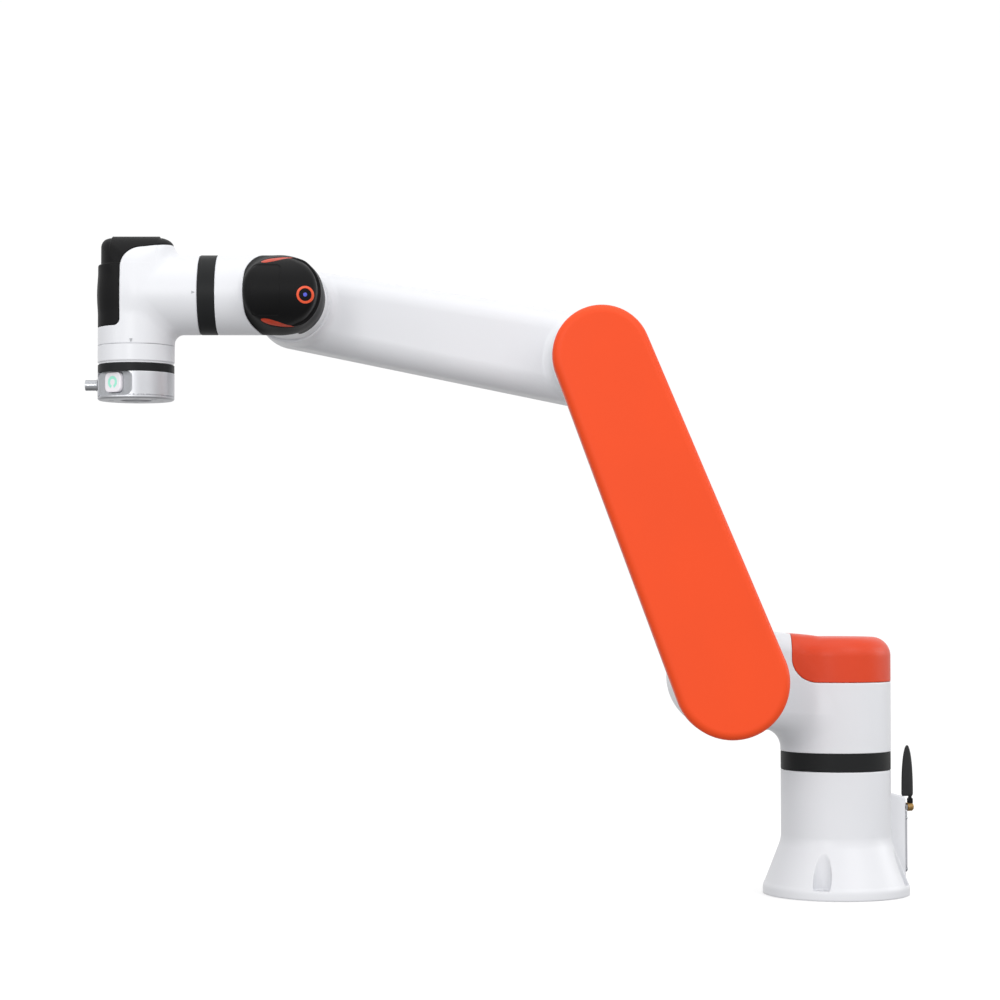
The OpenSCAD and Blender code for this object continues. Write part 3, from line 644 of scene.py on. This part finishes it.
def make_socket(name, side, height, radius):
    place = base_place.at((box_face, side, height), NEAR, RIGHT)
    bore = radius - 2
    profile = [(0, -6), (radius - 0.1, -6), (radius - 0.1, 1.7), (radius + 1.2, 1.7), (radius + 1.2, 2.7),
               (radius - 0.3, 3.1), (bore, 3.1), (bore, -3), (0, -3)]
    piece = turned(name + "_socket", place, profile, 0.3, 96)
    dress(piece, "base", "black_plastic", "panel_sockets")
    spots = around(pin_counts[name], bore * 0.58, 45)
    pin = [(0, -3.2), (0.55, -3.2), (0.55, 1.4), (0, 1.9)]
    dress(turned(name + "_pins", place, pin, 0.2, 16, spots), "base", "brass")


def make_base():
    low, high = (-foot_radius, -foot_radius, 0), (foot_radius, foot_radius, column_top)
    dress(shell("base_shell", base_place, base_casting, low, high, 1.7),
          "base", "white_casting", "base_casting")
    dress(shell("connector_housing", base_place, connector_box, (48, -23, 14), (74, 23, 108), 1.3),
          "base", "white_casting", "connector_box")
    dress(shell("connector_plate", panel_place, panel_plate, (-22.4, -36, 0), (22.4, 31, 1.6), 0.62),
          "base", "bare_aluminium", "connector_panel")
    for name, (side, height, radius) in sockets.items():
        make_socket(name, side, height, radius)
    head = [(0, -8), (1.5, -8), (1.5, 0.2), (2.6, 1.3), (2.6, 1.75), (1.25, 1.75), (1.25, 0.7), (0, 0.7)]
    screws = turned("connector_plate_screws", panel_place, head, 0.2, 48, screw_places, 1.3)
    dress(screws, "base", "steel", "panel_screws")
    ring = band(column_radius - wall, column_radius, SEAM / 2, j1[2] - column_top - SEAM / 2)
    dress(turned("base_seal", shoulder_place.at((0, 0, column_top)), ring, 0.7, 192),
          "base", "black_seal", "j1_ring")


# ---- Antenna ----

hinge_x = 82
hinge_z = antenna_z + 7.6
stud_place = base_place.at((box_face, antenna_y, antenna_z), FAR, RIGHT)
hinge_place = base_place.at((hinge_x, antenna_y, hinge_z))
blade_length = 54
blade_foot = 4


def antenna_nut(x, y, z):
    sides = [np.abs(x * math.cos(a) + y * math.sin(a)) for a in np.radians([0, 60, 120])]
    hexagon = meet(np.max(sides, 0) - 4.5, np.hypot(x, y) + z * 0.6 - 6.0, 0.2)
    return meet(hexagon, slab(z, 0, 2), 0.2)


def antenna_fork(x, y, z):
    block = join(meet(slab(z, -7.6, 0), rectangle(x, y, 2.3, 2.6, 0.6)),
                 meet(disc(x, z, 2.3), np.abs(y) - 2.6, 0.5))
    slot = np.maximum(np.abs(y) - 1.15, -2.7 - z)
    return cut(cut(block, disc(y, z + 7.6, 4.7)), slot, 0.2)


def antenna_blade(x, y, z):
    level = np.clip((z - blade_foot) / blade_length, 0, 1)
    width = 7.2 * np.sqrt(1 - level ** 2.6) * (0.88 + 0.12 * np.clip(level / 0.04, 0, 1)) + 1e-3
    depth = width * 0.45
    share = np.sqrt(((x + 3.5) / width) ** 2 + (y / depth) ** 2) + 1e-9
    steep = np.sqrt(((x + 3.5) / width ** 2) ** 2 + (y / depth ** 2) ** 2) / share + 1e-9
    body = meet((share - 1) / steep, slab(z, blade_foot, blade_foot + blade_length), 0.6)
    tongue = np.minimum(rectangle(x, y, 1.7, 0.95, 0.3), meet(disc(x, z, 2.1), np.abs(y) - 0.95, 0.2))
    neck = np.maximum(tongue, slab(z, -2.1, blade_foot + 1.5))
    pin = meet(disc(x, z, 0.85), np.abs(y) - 2.6, 0.2)
    return np.minimum(join(body, neck, 0.8), pin)


def make_antenna():
    sleeve = [(0, 3.4), (4.1, 3.4), (4.5, 3.9), (4.5, 9.6), (4.1, 10.2), (0, 10.2)]
    dress(turned("antenna_sleeve", stud_place, sleeve, 0.2, 64), "base", "brass", "antenna_connector")
    dress(turned("antenna_stud", stud_place, band(0, 3, -6, 3.4), 0.2, 48), "base", "brass")
    dress(shell("antenna_nut", stud_place, antenna_nut, (-5.3, -5.3, 0), (5.3, 5.3, 2), 0.35),
          "base", "steel")
    dress(shell("antenna_fork", hinge_place, antenna_fork, (-2.4, -2.7, -7.6), (2.4, 2.7, 2.4), 0.33),
          "base", "black_plastic", "antenna_knuckle")
    dress(shell("antenna_whip", hinge_place, antenna_blade, (-10.8, -3.4, -2.2), (3.8, 3.4, 58.2), 0.55),
          "antenna", "black_plastic", "antenna_blade", "black_rubber")


# ---- Shoulder ----

cap_low, cap_high = corners("shoulder_cap")
tower_radius = cap_high[0]
tower_top = cap_high[2]
cap_left = cap_low[0] - 3.5
cap_edge = cap_low[2]
cap_corner = 25
cap_wall = 3.6
housing_radius = 54
housing_back = 98  # joint 2's seam to the rear cover
hub_x, hub_y, hub_z = j2
inner_j1 = 53
inner_j2 = 49.3
shoulder_screws = around(6, inner_j2 - 9)


def shoulder_outside(x, y, z):
    tower = meet(disc(x, y, tower_radius), z - tower_top, 20)
    tower = meet(tower, j1[2] + SEAM - z, 0.7)
    hub = meet(disc(x - hub_x, z - hub_z, housing_radius), slab(y, hub_y, hub_y + housing_back), 1.2)
    sag = 0.041 * (x - hub_x) + 0.09 * np.maximum(x + 45, 0)
    outline = taper(x - hub_x, z - hub_z + sag, -hub_x, housing_radius, 47.6)
    neck = meet(meet(outline, slab(y, -44, 41), 20), x - 2, 30)
    fillet = np.interp(z, (190, 255), (20, 6))
    body = join(tower, join(neck, hub, 6), fillet)
    return np.maximum(body, j1[2] + SEAM - z)


def cap_region(x, z):
    return meet(cap_left - x, cap_edge - z, cap_corner)


def shoulder_hollow(x, y, z):
    radial = np.hypot(x, y)
    hub = disc(x - hub_x, z - hub_z, 0)
    floor = j1[2] + 10.4
    return either(meet(radial - inner_j1 + 0.3, z - j1[2] - 6.4),
                  radial - 18 + np.maximum(z - 190, 0),
                  meet(radial - 49, slab(z, floor, 258), 3),
                  meet(hub - inner_j2, slab(y, hub_y - 2, hub_y + housing_back + 9)),
                  meet(disc(y, z - hub_z, 18), slab(x, hub_x, 0)))


def shoulder_casting(x, y, z):
    outside = shoulder_outside(x, y, z)
    region = cap_region(x, z)
    body = np.minimum(cut(outside, region - SEAM / 2, 0.7), outside + cap_wall + 0.2)
    body = cut(body, shoulder_hollow(x, y, z), 0.4)
    seat = np.maximum(slab(disc(x - hub_x, z - hub_z, 0), 44.4, 50), slab(y, hub_y + 22, hub_y + 26))
    return np.minimum(body, seat)


def shoulder_cap(x, y, z):
    outside = shoulder_outside(x, y, z)
    skin = cut(outside, outside + cap_wall)
    return meet(skin, cap_region(x, z) + 0.05, 0.7)


def shoulder_lid(x, y, z):
    """Rear cover, in the frame of joint 2's side."""
    deep = -housing_back - z
    radial = np.hypot(x, y)
    lid = meet(meet(radial - housing_radius, slab(deep, 0.4, 6.5), 2.8), radial + deep - 57, 1)
    lid = np.minimum(lid, meet(radial - inner_j2 + 0.1, slab(deep, -6, 2)))
    lid = cut(lid, meet(radial - inner_j2 + 4, deep - 3, 1))
    groove = np.abs(radial - 46) - 0.6
    lid = cut(lid, meet(groove, 5.7 - deep))
    return drill(lid, x, y, shoulder_screws, 4.4, 0.3)


def make_shoulder():
    low, high = (hub_x - housing_radius, -60, j1[2]), (58, 58, 282)
    dress(shell("shoulder_shell", shoulder_place, shoulder_casting, low, high, 2.0),
          "shoulder", "white_casting", "shoulder_casting")
    low = (cap_left, -58, cap_edge)
    dress(shell("shoulder_cap_shell", shoulder_place, shoulder_cap, low, high, 1.5),
          "shoulder", "orange_cover", "shoulder_cap", "orange_cap")
    dress(shell("shoulder_lid", shoulder_side, shoulder_lid, (-54, -54, -104.5), (54, 54, -92), 1.3),
          "shoulder", "white_casting", "shoulder_rear_cover")
    rear = shoulder_side.at((0, 0, -housing_back - 2), RIGHT, DOWN)
    screw_heads("shoulder_lid_screws", rear, shoulder_screws, "shoulder", 3.9, 3.6)


# ---- Upper arm: X runs from joint 2 to joint 3 and Z towards the orange cover ----

arm_length = np.linalg.norm(j3 - j2)
rim_length = arm_length - 1.8  # the cover's ends are a little closer than the joints
arm_low, arm_high = 57.6, 49.6
arm_body = 62
cover_depth = 28
inner_j3 = 42.8
tube_low, tube_high = 44, 36
tube_back = 12


def upper_arm_casting(x, y, z):
    first = meet(disc(x, y, arm_low) + 1.6, slab(z, SEAM + 0.1, 56), 2)
    last = meet(disc(x - arm_length, y, 46.8), slab(z, 0, 56), 2)
    tube = meet(taper(x, y, arm_length, tube_low, tube_high), slab(z, tube_back, 56), 14)
    rim = meet(taper(x, y, rim_length, arm_low, arm_high), slab(z, 52, arm_body - SEAM / 2), 1.6)
    body = join(join(np.minimum(first, last), tube, 6), rim, 3)
    near, far = np.hypot(x, y), np.hypot(x - arm_length, y)
    inside = taper(x, y, arm_length, tube_low - wall, tube_high - wall)
    hollow = either(meet(near - inner_j2, z - 6.8), meet(near - inner_j2, 10.8 - z), near - 16.8,
                    far - inner_j3, meet(inside, tube_back + wall - z, 9))
    body = cut(body, hollow, 0.5)
    seat = np.maximum(slab(far, inner_j3 * 0.9, inner_j3 + 1), slab(z, 22, 26))
    return np.minimum(body, seat)


def upper_arm_cover(x, y, z):
    top = arm_body + cover_depth
    crown = z - top + 0.9 * np.clip(np.abs(y) / 50, 0, 1) ** 2
    outline = taper(x, y, rim_length, arm_low + 0.2, arm_high + 0.2)
    outside = meet(meet(outline, crown, 8.5), arm_body + SEAM / 2 - z, 0.6)
    inside = meet(meet(outline + 4.2, crown + 4.2, 4.3), arm_body - 5 - z)
    return cut(outside, inside, 0.5)


def make_upper_arm():
    low, high = (-57.6, -57.6, 0), (arm_length + 48, 57.6, arm_body)
    dress(shell("upper_arm_shell", upper_place, upper_arm_casting, low, high, 2.1),
          "upper_arm", "white_casting", "upper_arm_casting")
    low, high = (-57.8, -57.8, arm_body), (arm_length + 48, 57.8, arm_body + cover_depth)
    dress(shell("upper_arm_cover_shell", upper_place, upper_arm_cover, low, high, 1.8),
          "upper_arm", "orange_cover", "upper_arm_cover")


# ---- Forearm: X runs from joint 3 to joint 4 and Z away from the upper arm ----

forearm_length = np.linalg.norm(j4 - j3)
elbow_radius, end_radius = 48.0, 41.0
forearm_front, forearm_back = 10, 96
inner_j4 = 36.4
forearm_screws = around(4, inner_j4 - 8, 45)


def forearm_outside(x, y, z):
    outline = taper(x, y, forearm_length, elbow_radius + 0.1, end_radius + 0.1)
    body = meet(outline, slab(z, forearm_front, forearm_back), 24)
    elbow = meet(disc(x, y, elbow_radius), slab(z, SEAM + 0.1, 40), 0.8)
    end = meet(disc(x - forearm_length, y, end_radius), slab(z, 0, 40), 0.8)
    fillet = np.interp(z, (12, 30), (11, 0.5))
    return join(body, np.minimum(elbow, end), fillet)


def forearm_casting(x, y, z):
    near, far = np.hypot(x, y), np.hypot(x - forearm_length, y)
    tunnel = meet(taper(x, y, forearm_length, 30, 26), slab(z, forearm_front + wall, 78), 6)
    hollow = either(meet(near - inner_j3, z - 6.4), meet(near - inner_j3, slab(z, 10.4, 66), 2),
                    near - 14.5 + np.maximum(z - 40, 0), far - inner_j4, tunnel)
    body = cut(forearm_outside(x, y, z), hollow, 0.5)
    seat = np.maximum(slab(far, inner_j4 * 0.9, inner_j4 + 1), slab(z, 22, 26))
    return np.minimum(body, seat)


def forearm_lid(x, y, z):
    radial = np.hypot(x, y)
    lid = meet(radial - inner_j4 + 0.15, slab(z, forearm_back - 16, forearm_back + 3), 2.6)
    lid = cut(lid, meet(radial - inner_j4 + 4, z - forearm_back + 2, 1))
    return drill(lid, x, y, forearm_screws, 4.1, 0.3)


def make_forearm():
    low, high = (-48.2, -48.2, 0), (forearm_length + 41.2, 48.2, forearm_back)
    dress(shell("forearm_shell", forearm_place, forearm_casting, low, high, 2.1),
          "forearm", "white_casting", "forearm_casting")
    place = forearm_place.at((forearm_length, 0, 0))
    dress(shell("forearm_lid", place, forearm_lid, (-36.4, -36.4, 80), (36.4, 36.4, 99), 1.2),
          "forearm", "white_casting", "forearm_rear_cover")
    rear = place.at((0, 0, forearm_back - 1.5))
    screw_heads("forearm_lid_screws", rear, forearm_screws, "forearm", 3.7, 3.4)


# ---- Wrist modules: output seam at Z = 0, side tube along +X ----

wrist_radius = 38.6
tube_radius = 40.3
tube_height = np.linalg.norm((j5 - j6)[2])
wrist_height = corners("wrist_2_hood")[1][2] - j6[2]
dome_height = wrist_height - tube_height
hood_wall = 3.2
belt_top = 100.4
strip_edge = -12.1
strip_foot = 37.5
ring_low, ring_high = corners("j5_ring")
ring_width = (ring_high - ring_low)[0]
inner_j5 = 35.8
inner_j6 = 34.1
wrist_side, wrist_ceiling = 44, 131  # half the width of the box that is meshed, and its top
parting = 18.8  # height of the collar under wrist 2
hood_level, hood_slope = 116.5, 0.12  # wrist 2's hood over the axis, and its rise along X
hood_end = 40
end_reach, end_bow = 37.8, 15  # wrist 1's hood on the end's sides
tube_1 = j4[0] - j5[0] - ring_width
tube_2 = j5[0] - j6[0] - 0.4
window_side = 52  # around the dome
window_middle = 4.2
window_reach = 16.5
window_offset = 32.5  # from the hood's middle to a window's, along Y
emblem_spot = np.array([-25.0, 6.0])


def wrist_outside(x, y, z, tube_end, band, drop=0):
    """Cylinder with a domed end, filleted into the side tube. band is the height of a raised middle."""
    rise = np.maximum(z - tube_height, 0)
    past = np.maximum(np.abs(x) - 23.4, 0)
    crown = dome_height - drop - band * np.clip(past / 0.9, 0, 1) - 0.03 * past ** 2
    share = np.sqrt((y / tube_radius) ** 2 + (rise / crown) ** 2 + 1e-12)
    steep = np.sqrt((y / tube_radius ** 2) ** 2 + (rise / crown ** 2) ** 2)
    dome = (share - 1) * share / np.maximum(steep, 1e-9)
    radial = np.hypot(x, y)
    lower = meet(meet(radial - wrist_radius, dome, 5), z - belt_top, 1.2)
    upper = meet(radial - wrist_radius + 2.9 * np.clip(-x / 15, 0, 1), dome, 5)
    tube = np.sqrt(y ** 2 + (z - tube_height) ** 2 + np.minimum(x - 6, 0) ** 2) - tube_radius
    tube = meet(tube, x - tube_end, 0.8)
    fillet = np.interp(np.abs(y), (20, 36), (9.5, 5))
    return join(join(lower, upper, 0.6), tube, fillet)


def hood_region(x, z):
    strip = meet(x - strip_edge, strip_foot - z, 6)
    top = (hood_level + hood_slope * x - z) / math.hypot(1, hood_slope)
    return join(strip, top, 18)


def hood_1_region(x, y, z):
    """Wrist 1's hood also wraps the end's sides, to its widest line."""
    bow = end_bow * (y / np.hypot(y, z - tube_height + 1e-6)) ** 4
    end = meet(x - end_reach + bow, tube_height - 6 - z, 5)
    return join(meet(x - strip_edge, strip_foot - z, 6), end, 14)


def wrist_hollow(x, y, z, outside, cavity):
    radial = np.hypot(x, y)
    body = meet(meet(radial - cavity, z - wrist_height + 12), outside + 7.4, 2)
    tube = meet(disc(y, z - tube_height, inner_j5), -x, 2)
    return np.minimum(body, tube)


def wrist_casting(z, outside, region, foot):
    """Casting with a step under the hood. foot is the height at which it starts."""
    body = np.minimum(cut(outside, region - SEAM / 2, 0.6), outside + hood_wall + 0.3)
    return meet(body, foot - z, 0.6)


def hood(outside, region):
    skin = cut(outside, outside + hood_wall)
    return meet(skin, region + SEAM / 2, 0.6)


def hood_1_outside(x, y, z):
    """Wrist 1's hood has a shallow panel between two creases on its end."""
    outside = wrist_outside(x, y, z, tube_1, 0, 1)
    panel = meet(slab(x, 0, 29.7), np.abs(y) - 26, 5)
    return outside + np.where(z > 105, 0.7 * np.clip(-panel / 1.2, 0, 1), 0)


def window_slit(x, y, z):
    """Both slits in wrist 1's hood: leaning outlines around the dome, fuller towards the tube."""
    share = np.clip((x - window_middle) / window_reach, -1, 1)
    half = 7.5 * np.sqrt(1 - share ** 2) * (0.62 + 0.38 * share)
    arc = 54 * np.arctan2(np.abs(y) / tube_radius, (z - tube_height) / dome_height)
    side = np.abs(arc - window_side + 0.45 * (x - window_middle))
    return np.maximum(side - half, np.abs(x - window_middle) - window_reach)


def wrist_1_casting(x, y, z):
    outside = wrist_outside(x, y, z, tube_1 - SEAM / 2, 0, 1)
    body = wrist_casting(z, outside, hood_1_region(x, y, z), SEAM + 0.1)
    hollow = wrist_hollow(x, y, z, outside, inner_j4 - 1)
    radial = np.hypot(x, y)
    hollow = either(np.maximum(hollow, 10.4 - z), meet(radial - inner_j4 + 0.1, z - 6.4),
                    meet(radial - 12, z - 20))
    return cut(body, hollow, 0.4)


def wrist_1_hood(x, y, z):
    body = hood(hood_1_outside(x, y, z), hood_1_region(x, y, z))
    return cut(body, window_slit(x, y, z), 0.4)


def hood_window(x, y, z):
    outside = hood_1_outside(x, y, z)
    return meet(window_slit(x, y, z) + 0.15, slab(outside, -2.6, -0.3), 0.2)


def wrist_2_casting(x, y, z):
    outside = wrist_outside(x, y, z, tube_2, 1.5)
    body = wrist_casting(z, outside, hood_region(x, z), parting + 0.1)
    hollow = wrist_hollow(x, y, z, outside, inner_j6)
    hollow = np.maximum(hollow, np.minimum(disc(x, y, inner_j6), x - tube_2 + 10))
    bore = meet(disc(y, z - tube_height, inner_j5), tube_2 - 6 - x)
    return cut(body, np.minimum(hollow, bore), 0.4)


def wrist_2_hood(x, y, z):
    return hood(wrist_outside(x, y, z, tube_2, 1.5), hood_region(x, z))


def pointer(name, place, body):
    """Small triangle that marks a joint's zero, pointing along X."""
    outline = [(0, 0), (-3.6, 1.5), (-3.6, -1.5)]
    dress(prism(name, place, outline, -0.5, 0.12), body, "white_casting", finish="grey_mark")


def wrist_shells(body, place, casting, foot, end, cover, cell):
    """Casting and hood of a wrist module, whose CAD nodes are named after its body."""
    low, high = (-wrist_radius, -wrist_side, foot), (end, wrist_side, wrist_ceiling)
    piece = shell(body + "_shell", place, casting, low, high, 1.6)
    dress(piece, body, "white_casting", body + "_casting")
    low, high = (-wrist_radius, -wrist_side, strip_foot), (hood_end, wrist_side, wrist_ceiling)
    piece = shell(body + "_hood_shell", place, cover, low, high, cell)
    dress(piece, body, "black_plastic", body + "_hood")


def make_wrist_1():
    wrist_shells("wrist_1", wrist_1_place, wrist_1_casting, 0, tube_1, wrist_1_hood, 1.0)
    for name, side in (("upper_window", -1), ("lower_window", 1)):
        low = (window_middle - window_reach, side * window_offset - 11, 72)
        high = (window_middle + window_reach, side * window_offset + 11, 125)
        dress(shell(name, wrist_1_place, hood_window, low, high, 0.8),
              "wrist_1", "orange_window", "hood_windows")
    ring = band(inner_j5, tube_radius, SEAM / 2, ring_width - SEAM / 2)
    place = ring_place.at((0, 0, -ring_width))
    dress(turned("wrist_seal", place, ring, 0.6, 192), "wrist_1", "black_seal", "j5_ring")


def surface_height(spot):
    """Height of wrist 1's hood over a point, found by halving."""
    low, high = 60.0, wrist_height + 5
    for _ in range(40):
        middle = (low + high) / 2
        inside = hood_1_outside(*np.array([[*spot, middle]]).T)[0] < 0
        low, high = (middle, high) if inside else (low, middle)
    return low


def emblem_part(name, inner, outer, finish):
    """Round print or lens that follows wrist 1's hood, between two radii about the emblem's spot."""
    def field(x, y, z):
        radial = np.hypot(x - emblem_spot[0], y - emblem_spot[1])
        return meet(slab(radial, inner, outer), slab(hood_1_outside(x, y, z), -1.2, 0.2), 0.2)

    level = surface_height(emblem_spot)
    low = (*(emblem_spot - outer - 1), level - 9)
    high = (*(emblem_spot + outer + 1), level + 3)
    dress(shell(name, wrist_1_place, field, low, high, 0.4), "wrist_1", "orange_window", finish=finish)


def make_emblem():
    """Plain ring with a small light on the end of wrist 1's hood."""
    emblem_part("status_ring", 6.2, 8.6, "orange_mark")
    emblem_part("status_light", -1, 2, "blue_light")


def make_wrist_2():
    wrist_shells("wrist_2", wrist_2_place, wrist_2_casting, parting, tube_2, wrist_2_hood, 1.2)
    collar = [(inner_j6, 0.05), (wrist_radius - 1.2, 0.05), (wrist_radius - 1.2, 1.4), (wrist_radius, 2.6),
              (wrist_radius, parting - 0.05), (inner_j6, parting - 0.05)]
    dress(turned("wrist_2_collar", wrist_2_place, collar, 0.4, 192), "wrist_2", "white_casting")
    side = wrist_2_place.at((tube_2 - 1.5, -tube_radius, tube_height - 1.5), RIGHT, NEAR)
    pointer("joint_5_pointer", side, "wrist_2")
    front = wrist_2_place.at((0, -wrist_radius, parting + 1.2), DOWN, NEAR)
    pointer("joint_6_pointer", front, "wrist_2")


# ---- Tool side: Z is the depth below joint 6 ----

flange_radius = 38.5
flange_top = 8.4
flange_face = j6[2] - corners("tool_flange")[0][2]
button_turn = math.radians(126)
pad_distance = 30
button_depth = flange_top + 10.8
tool_turn = math.degrees(button_turn) - 45
plug_depth = flange_top + 12
thread_circle = 25
button_width, button_height = 10.85, 10.05  # halves of the button's face


def tool_flange(x, y, z):
    radial = np.hypot(x, y)
    body = meet(radial - flange_radius, z - flange_face, 0.5)
    body = meet(body, (radial - flange_radius + z - flange_face + 1.5) / math.sqrt(2), 0.3)
    body = meet(body, flange_top + 0.1 - z, 0.5)
    body = np.minimum(body, meet(radial - 33, slab(z, 6.6, 12)))
    out = x * math.cos(button_turn) + y * math.sin(button_turn)
    across = y * math.cos(button_turn) - x * math.sin(button_turn)
    pad = meet(rectangle(across, z - 20.3, 23.6, 12.3, 6.5), pad_distance - out)
    body = cut(body, pad, 0.35)
    recess = rectangle(across, z - button_depth, button_width + 0.8, button_height + 0.6, 6)
    body = cut(body, meet(recess, 24 - out), 0.3)
    body = cut(body, meet(radial - 15.75, flange_face - 6 - z), 0.5)
    body = cut(body, radial - 8, 0.5)
    body = drill(body, x, y, around(4, thread_circle, tool_turn), 2.5, 0.5, flange_face - 10 - z)
    body = drill(body, x, y, around(1, thread_circle, tool_turn - 45), 3, 0.5, flange_face - 7 - z)
    groove = meet(np.abs(z - flange_face + 3.4) - 0.35, flange_radius - 0.5 - radial)
    body = cut(body, groove, 0.15)
    return cut(body, meet(disc(y, z - plug_depth, 4), x))


pad_out = (math.cos(button_turn), math.sin(button_turn), 0)
pad_side = (-math.sin(button_turn), math.cos(button_turn), 0)
pad_place = tool_place.at((0, 0, button_depth), tuple(-v for v in pad_side), pad_out)


def pad_plate(x, y, z):
    """Blasted plate around the button, cut to the flange's cylinder."""
    plate = meet(rectangle(x, y + 1.1, 23.4, 12.1, 6.3), slab(z, 29.2, 30.12), 0.15)
    plate = meet(plate, disc(x, z, flange_radius) + 0.1, 0.15)
    return cut(plate, rectangle(x, y, button_width + 0.85, button_height + 0.65, 6.2), 0.1)


def button_frame(x, y, z):
    block = meet(rectangle(x, y, button_width + 0.75, button_height + 0.55, 6.1), slab(z, 24.1, 30.6), 0.3)
    return cut(block, meet(rectangle(x, y, button_width + 0.15, button_height + 0.15, 5.6), 25.5 - z), 0.2)


def teach_button(x, y, z):
    return meet(rectangle(x, y, button_width, button_height, 5.5), slab(z, 27.6, 33.6), 1.1)


def make_tool():
    place = tool_place.at((0, 0, 0.45))
    ring = band(33.8, 38.4, 0, flange_top - 0.5)
    dress(turned("tool_seal", place, ring, 0.4, 192), "tool_flange", "black_seal", "j6_ring")
    low, high = (-flange_radius, -flange_radius, 6.6), (flange_radius, flange_radius, flange_face)
    dress(shell("tool_flange_body", tool_place, tool_flange, low, high, 0.65),
          "tool_flange", "bare_aluminium", "tool_flange")
    plug = tool_place.at((0, 0, plug_depth), FAR, LEFT)
    profile = [(0, 26), (3.9, 26), (3.9, 38.6), (5.9, 38.6), (5.9, 40), (5.4, 40), (5.4, 51), (3.6, 51),
               (3.6, 42), (0, 42)]
    dress(turned("tool_plug_socket", plug, profile, 0.3, 96), "tool_flange", "steel", "tool_connector")
    spots = around(7, 2.3) + [(0, 0)]
    pins = turned("tool_plug_pins", plug, [(0, 41.8), (0.4, 41.8), (0.4, 48), (0, 48.4)], 0.15, 12, spots)
    dress(pins, "tool_flange", "brass")
    dress(shell("button_pad", pad_place, pad_plate, (-25, -14, 29.2), (25, 12, 30.2), 0.5),
          "tool_flange", "bare_aluminium", finish="milled_face")
    dress(shell("button_bezel", pad_place, button_frame, (-11.7, -10.7, 24), (11.7, 10.7, 30.6), 0.5),
          "tool_flange", "bare_aluminium", "button_frame", "milled_face")
    dress(shell("button_cap", pad_place, teach_button, (-10.9, -10.1, 27.5), (10.9, 10.1, 33.6), 0.45),
          "teach_button", "button_plastic", "teach_button")
    mark = arc_band("button_mark", pad_place, 3.3, 6.2, 33.4, 33.68, -72, 252)
    dress(mark, "teach_button", "button_plastic", finish="mint_mark")


def dress_inner_nodes():
    """Gives each CAD node that stays its material."""
    slots = frame["record"].get("material_of", {})
    endings = {"_gear_unit": "steel", "_output": "steel", "_rotor": "steel", "_motor": "motor_copper",
               "_board": "circuit_board", "_harness": "cable_sleeve", "_screws": "steel",
               "base_plate": "bare_aluminium"}
    for name, node in frame["nodes"].items():
        if node.hide_render:
            continue
        slot = slots.get(name) or next(s for e, s in endings.items() if name.endswith(e))
        node.data.materials.clear()
        node.data.materials.append(MATERIALS[slot])


make_camera()
make_floor()
make_world()
make_lights()
make_base()
make_antenna()
make_shoulder()
make_upper_arm()
make_forearm()
make_wrist_1()
make_emblem()
make_wrist_2()
make_tool()
dress_inner_nodes()
bpy.context.scene.view_settings.view_transform = "Standard"
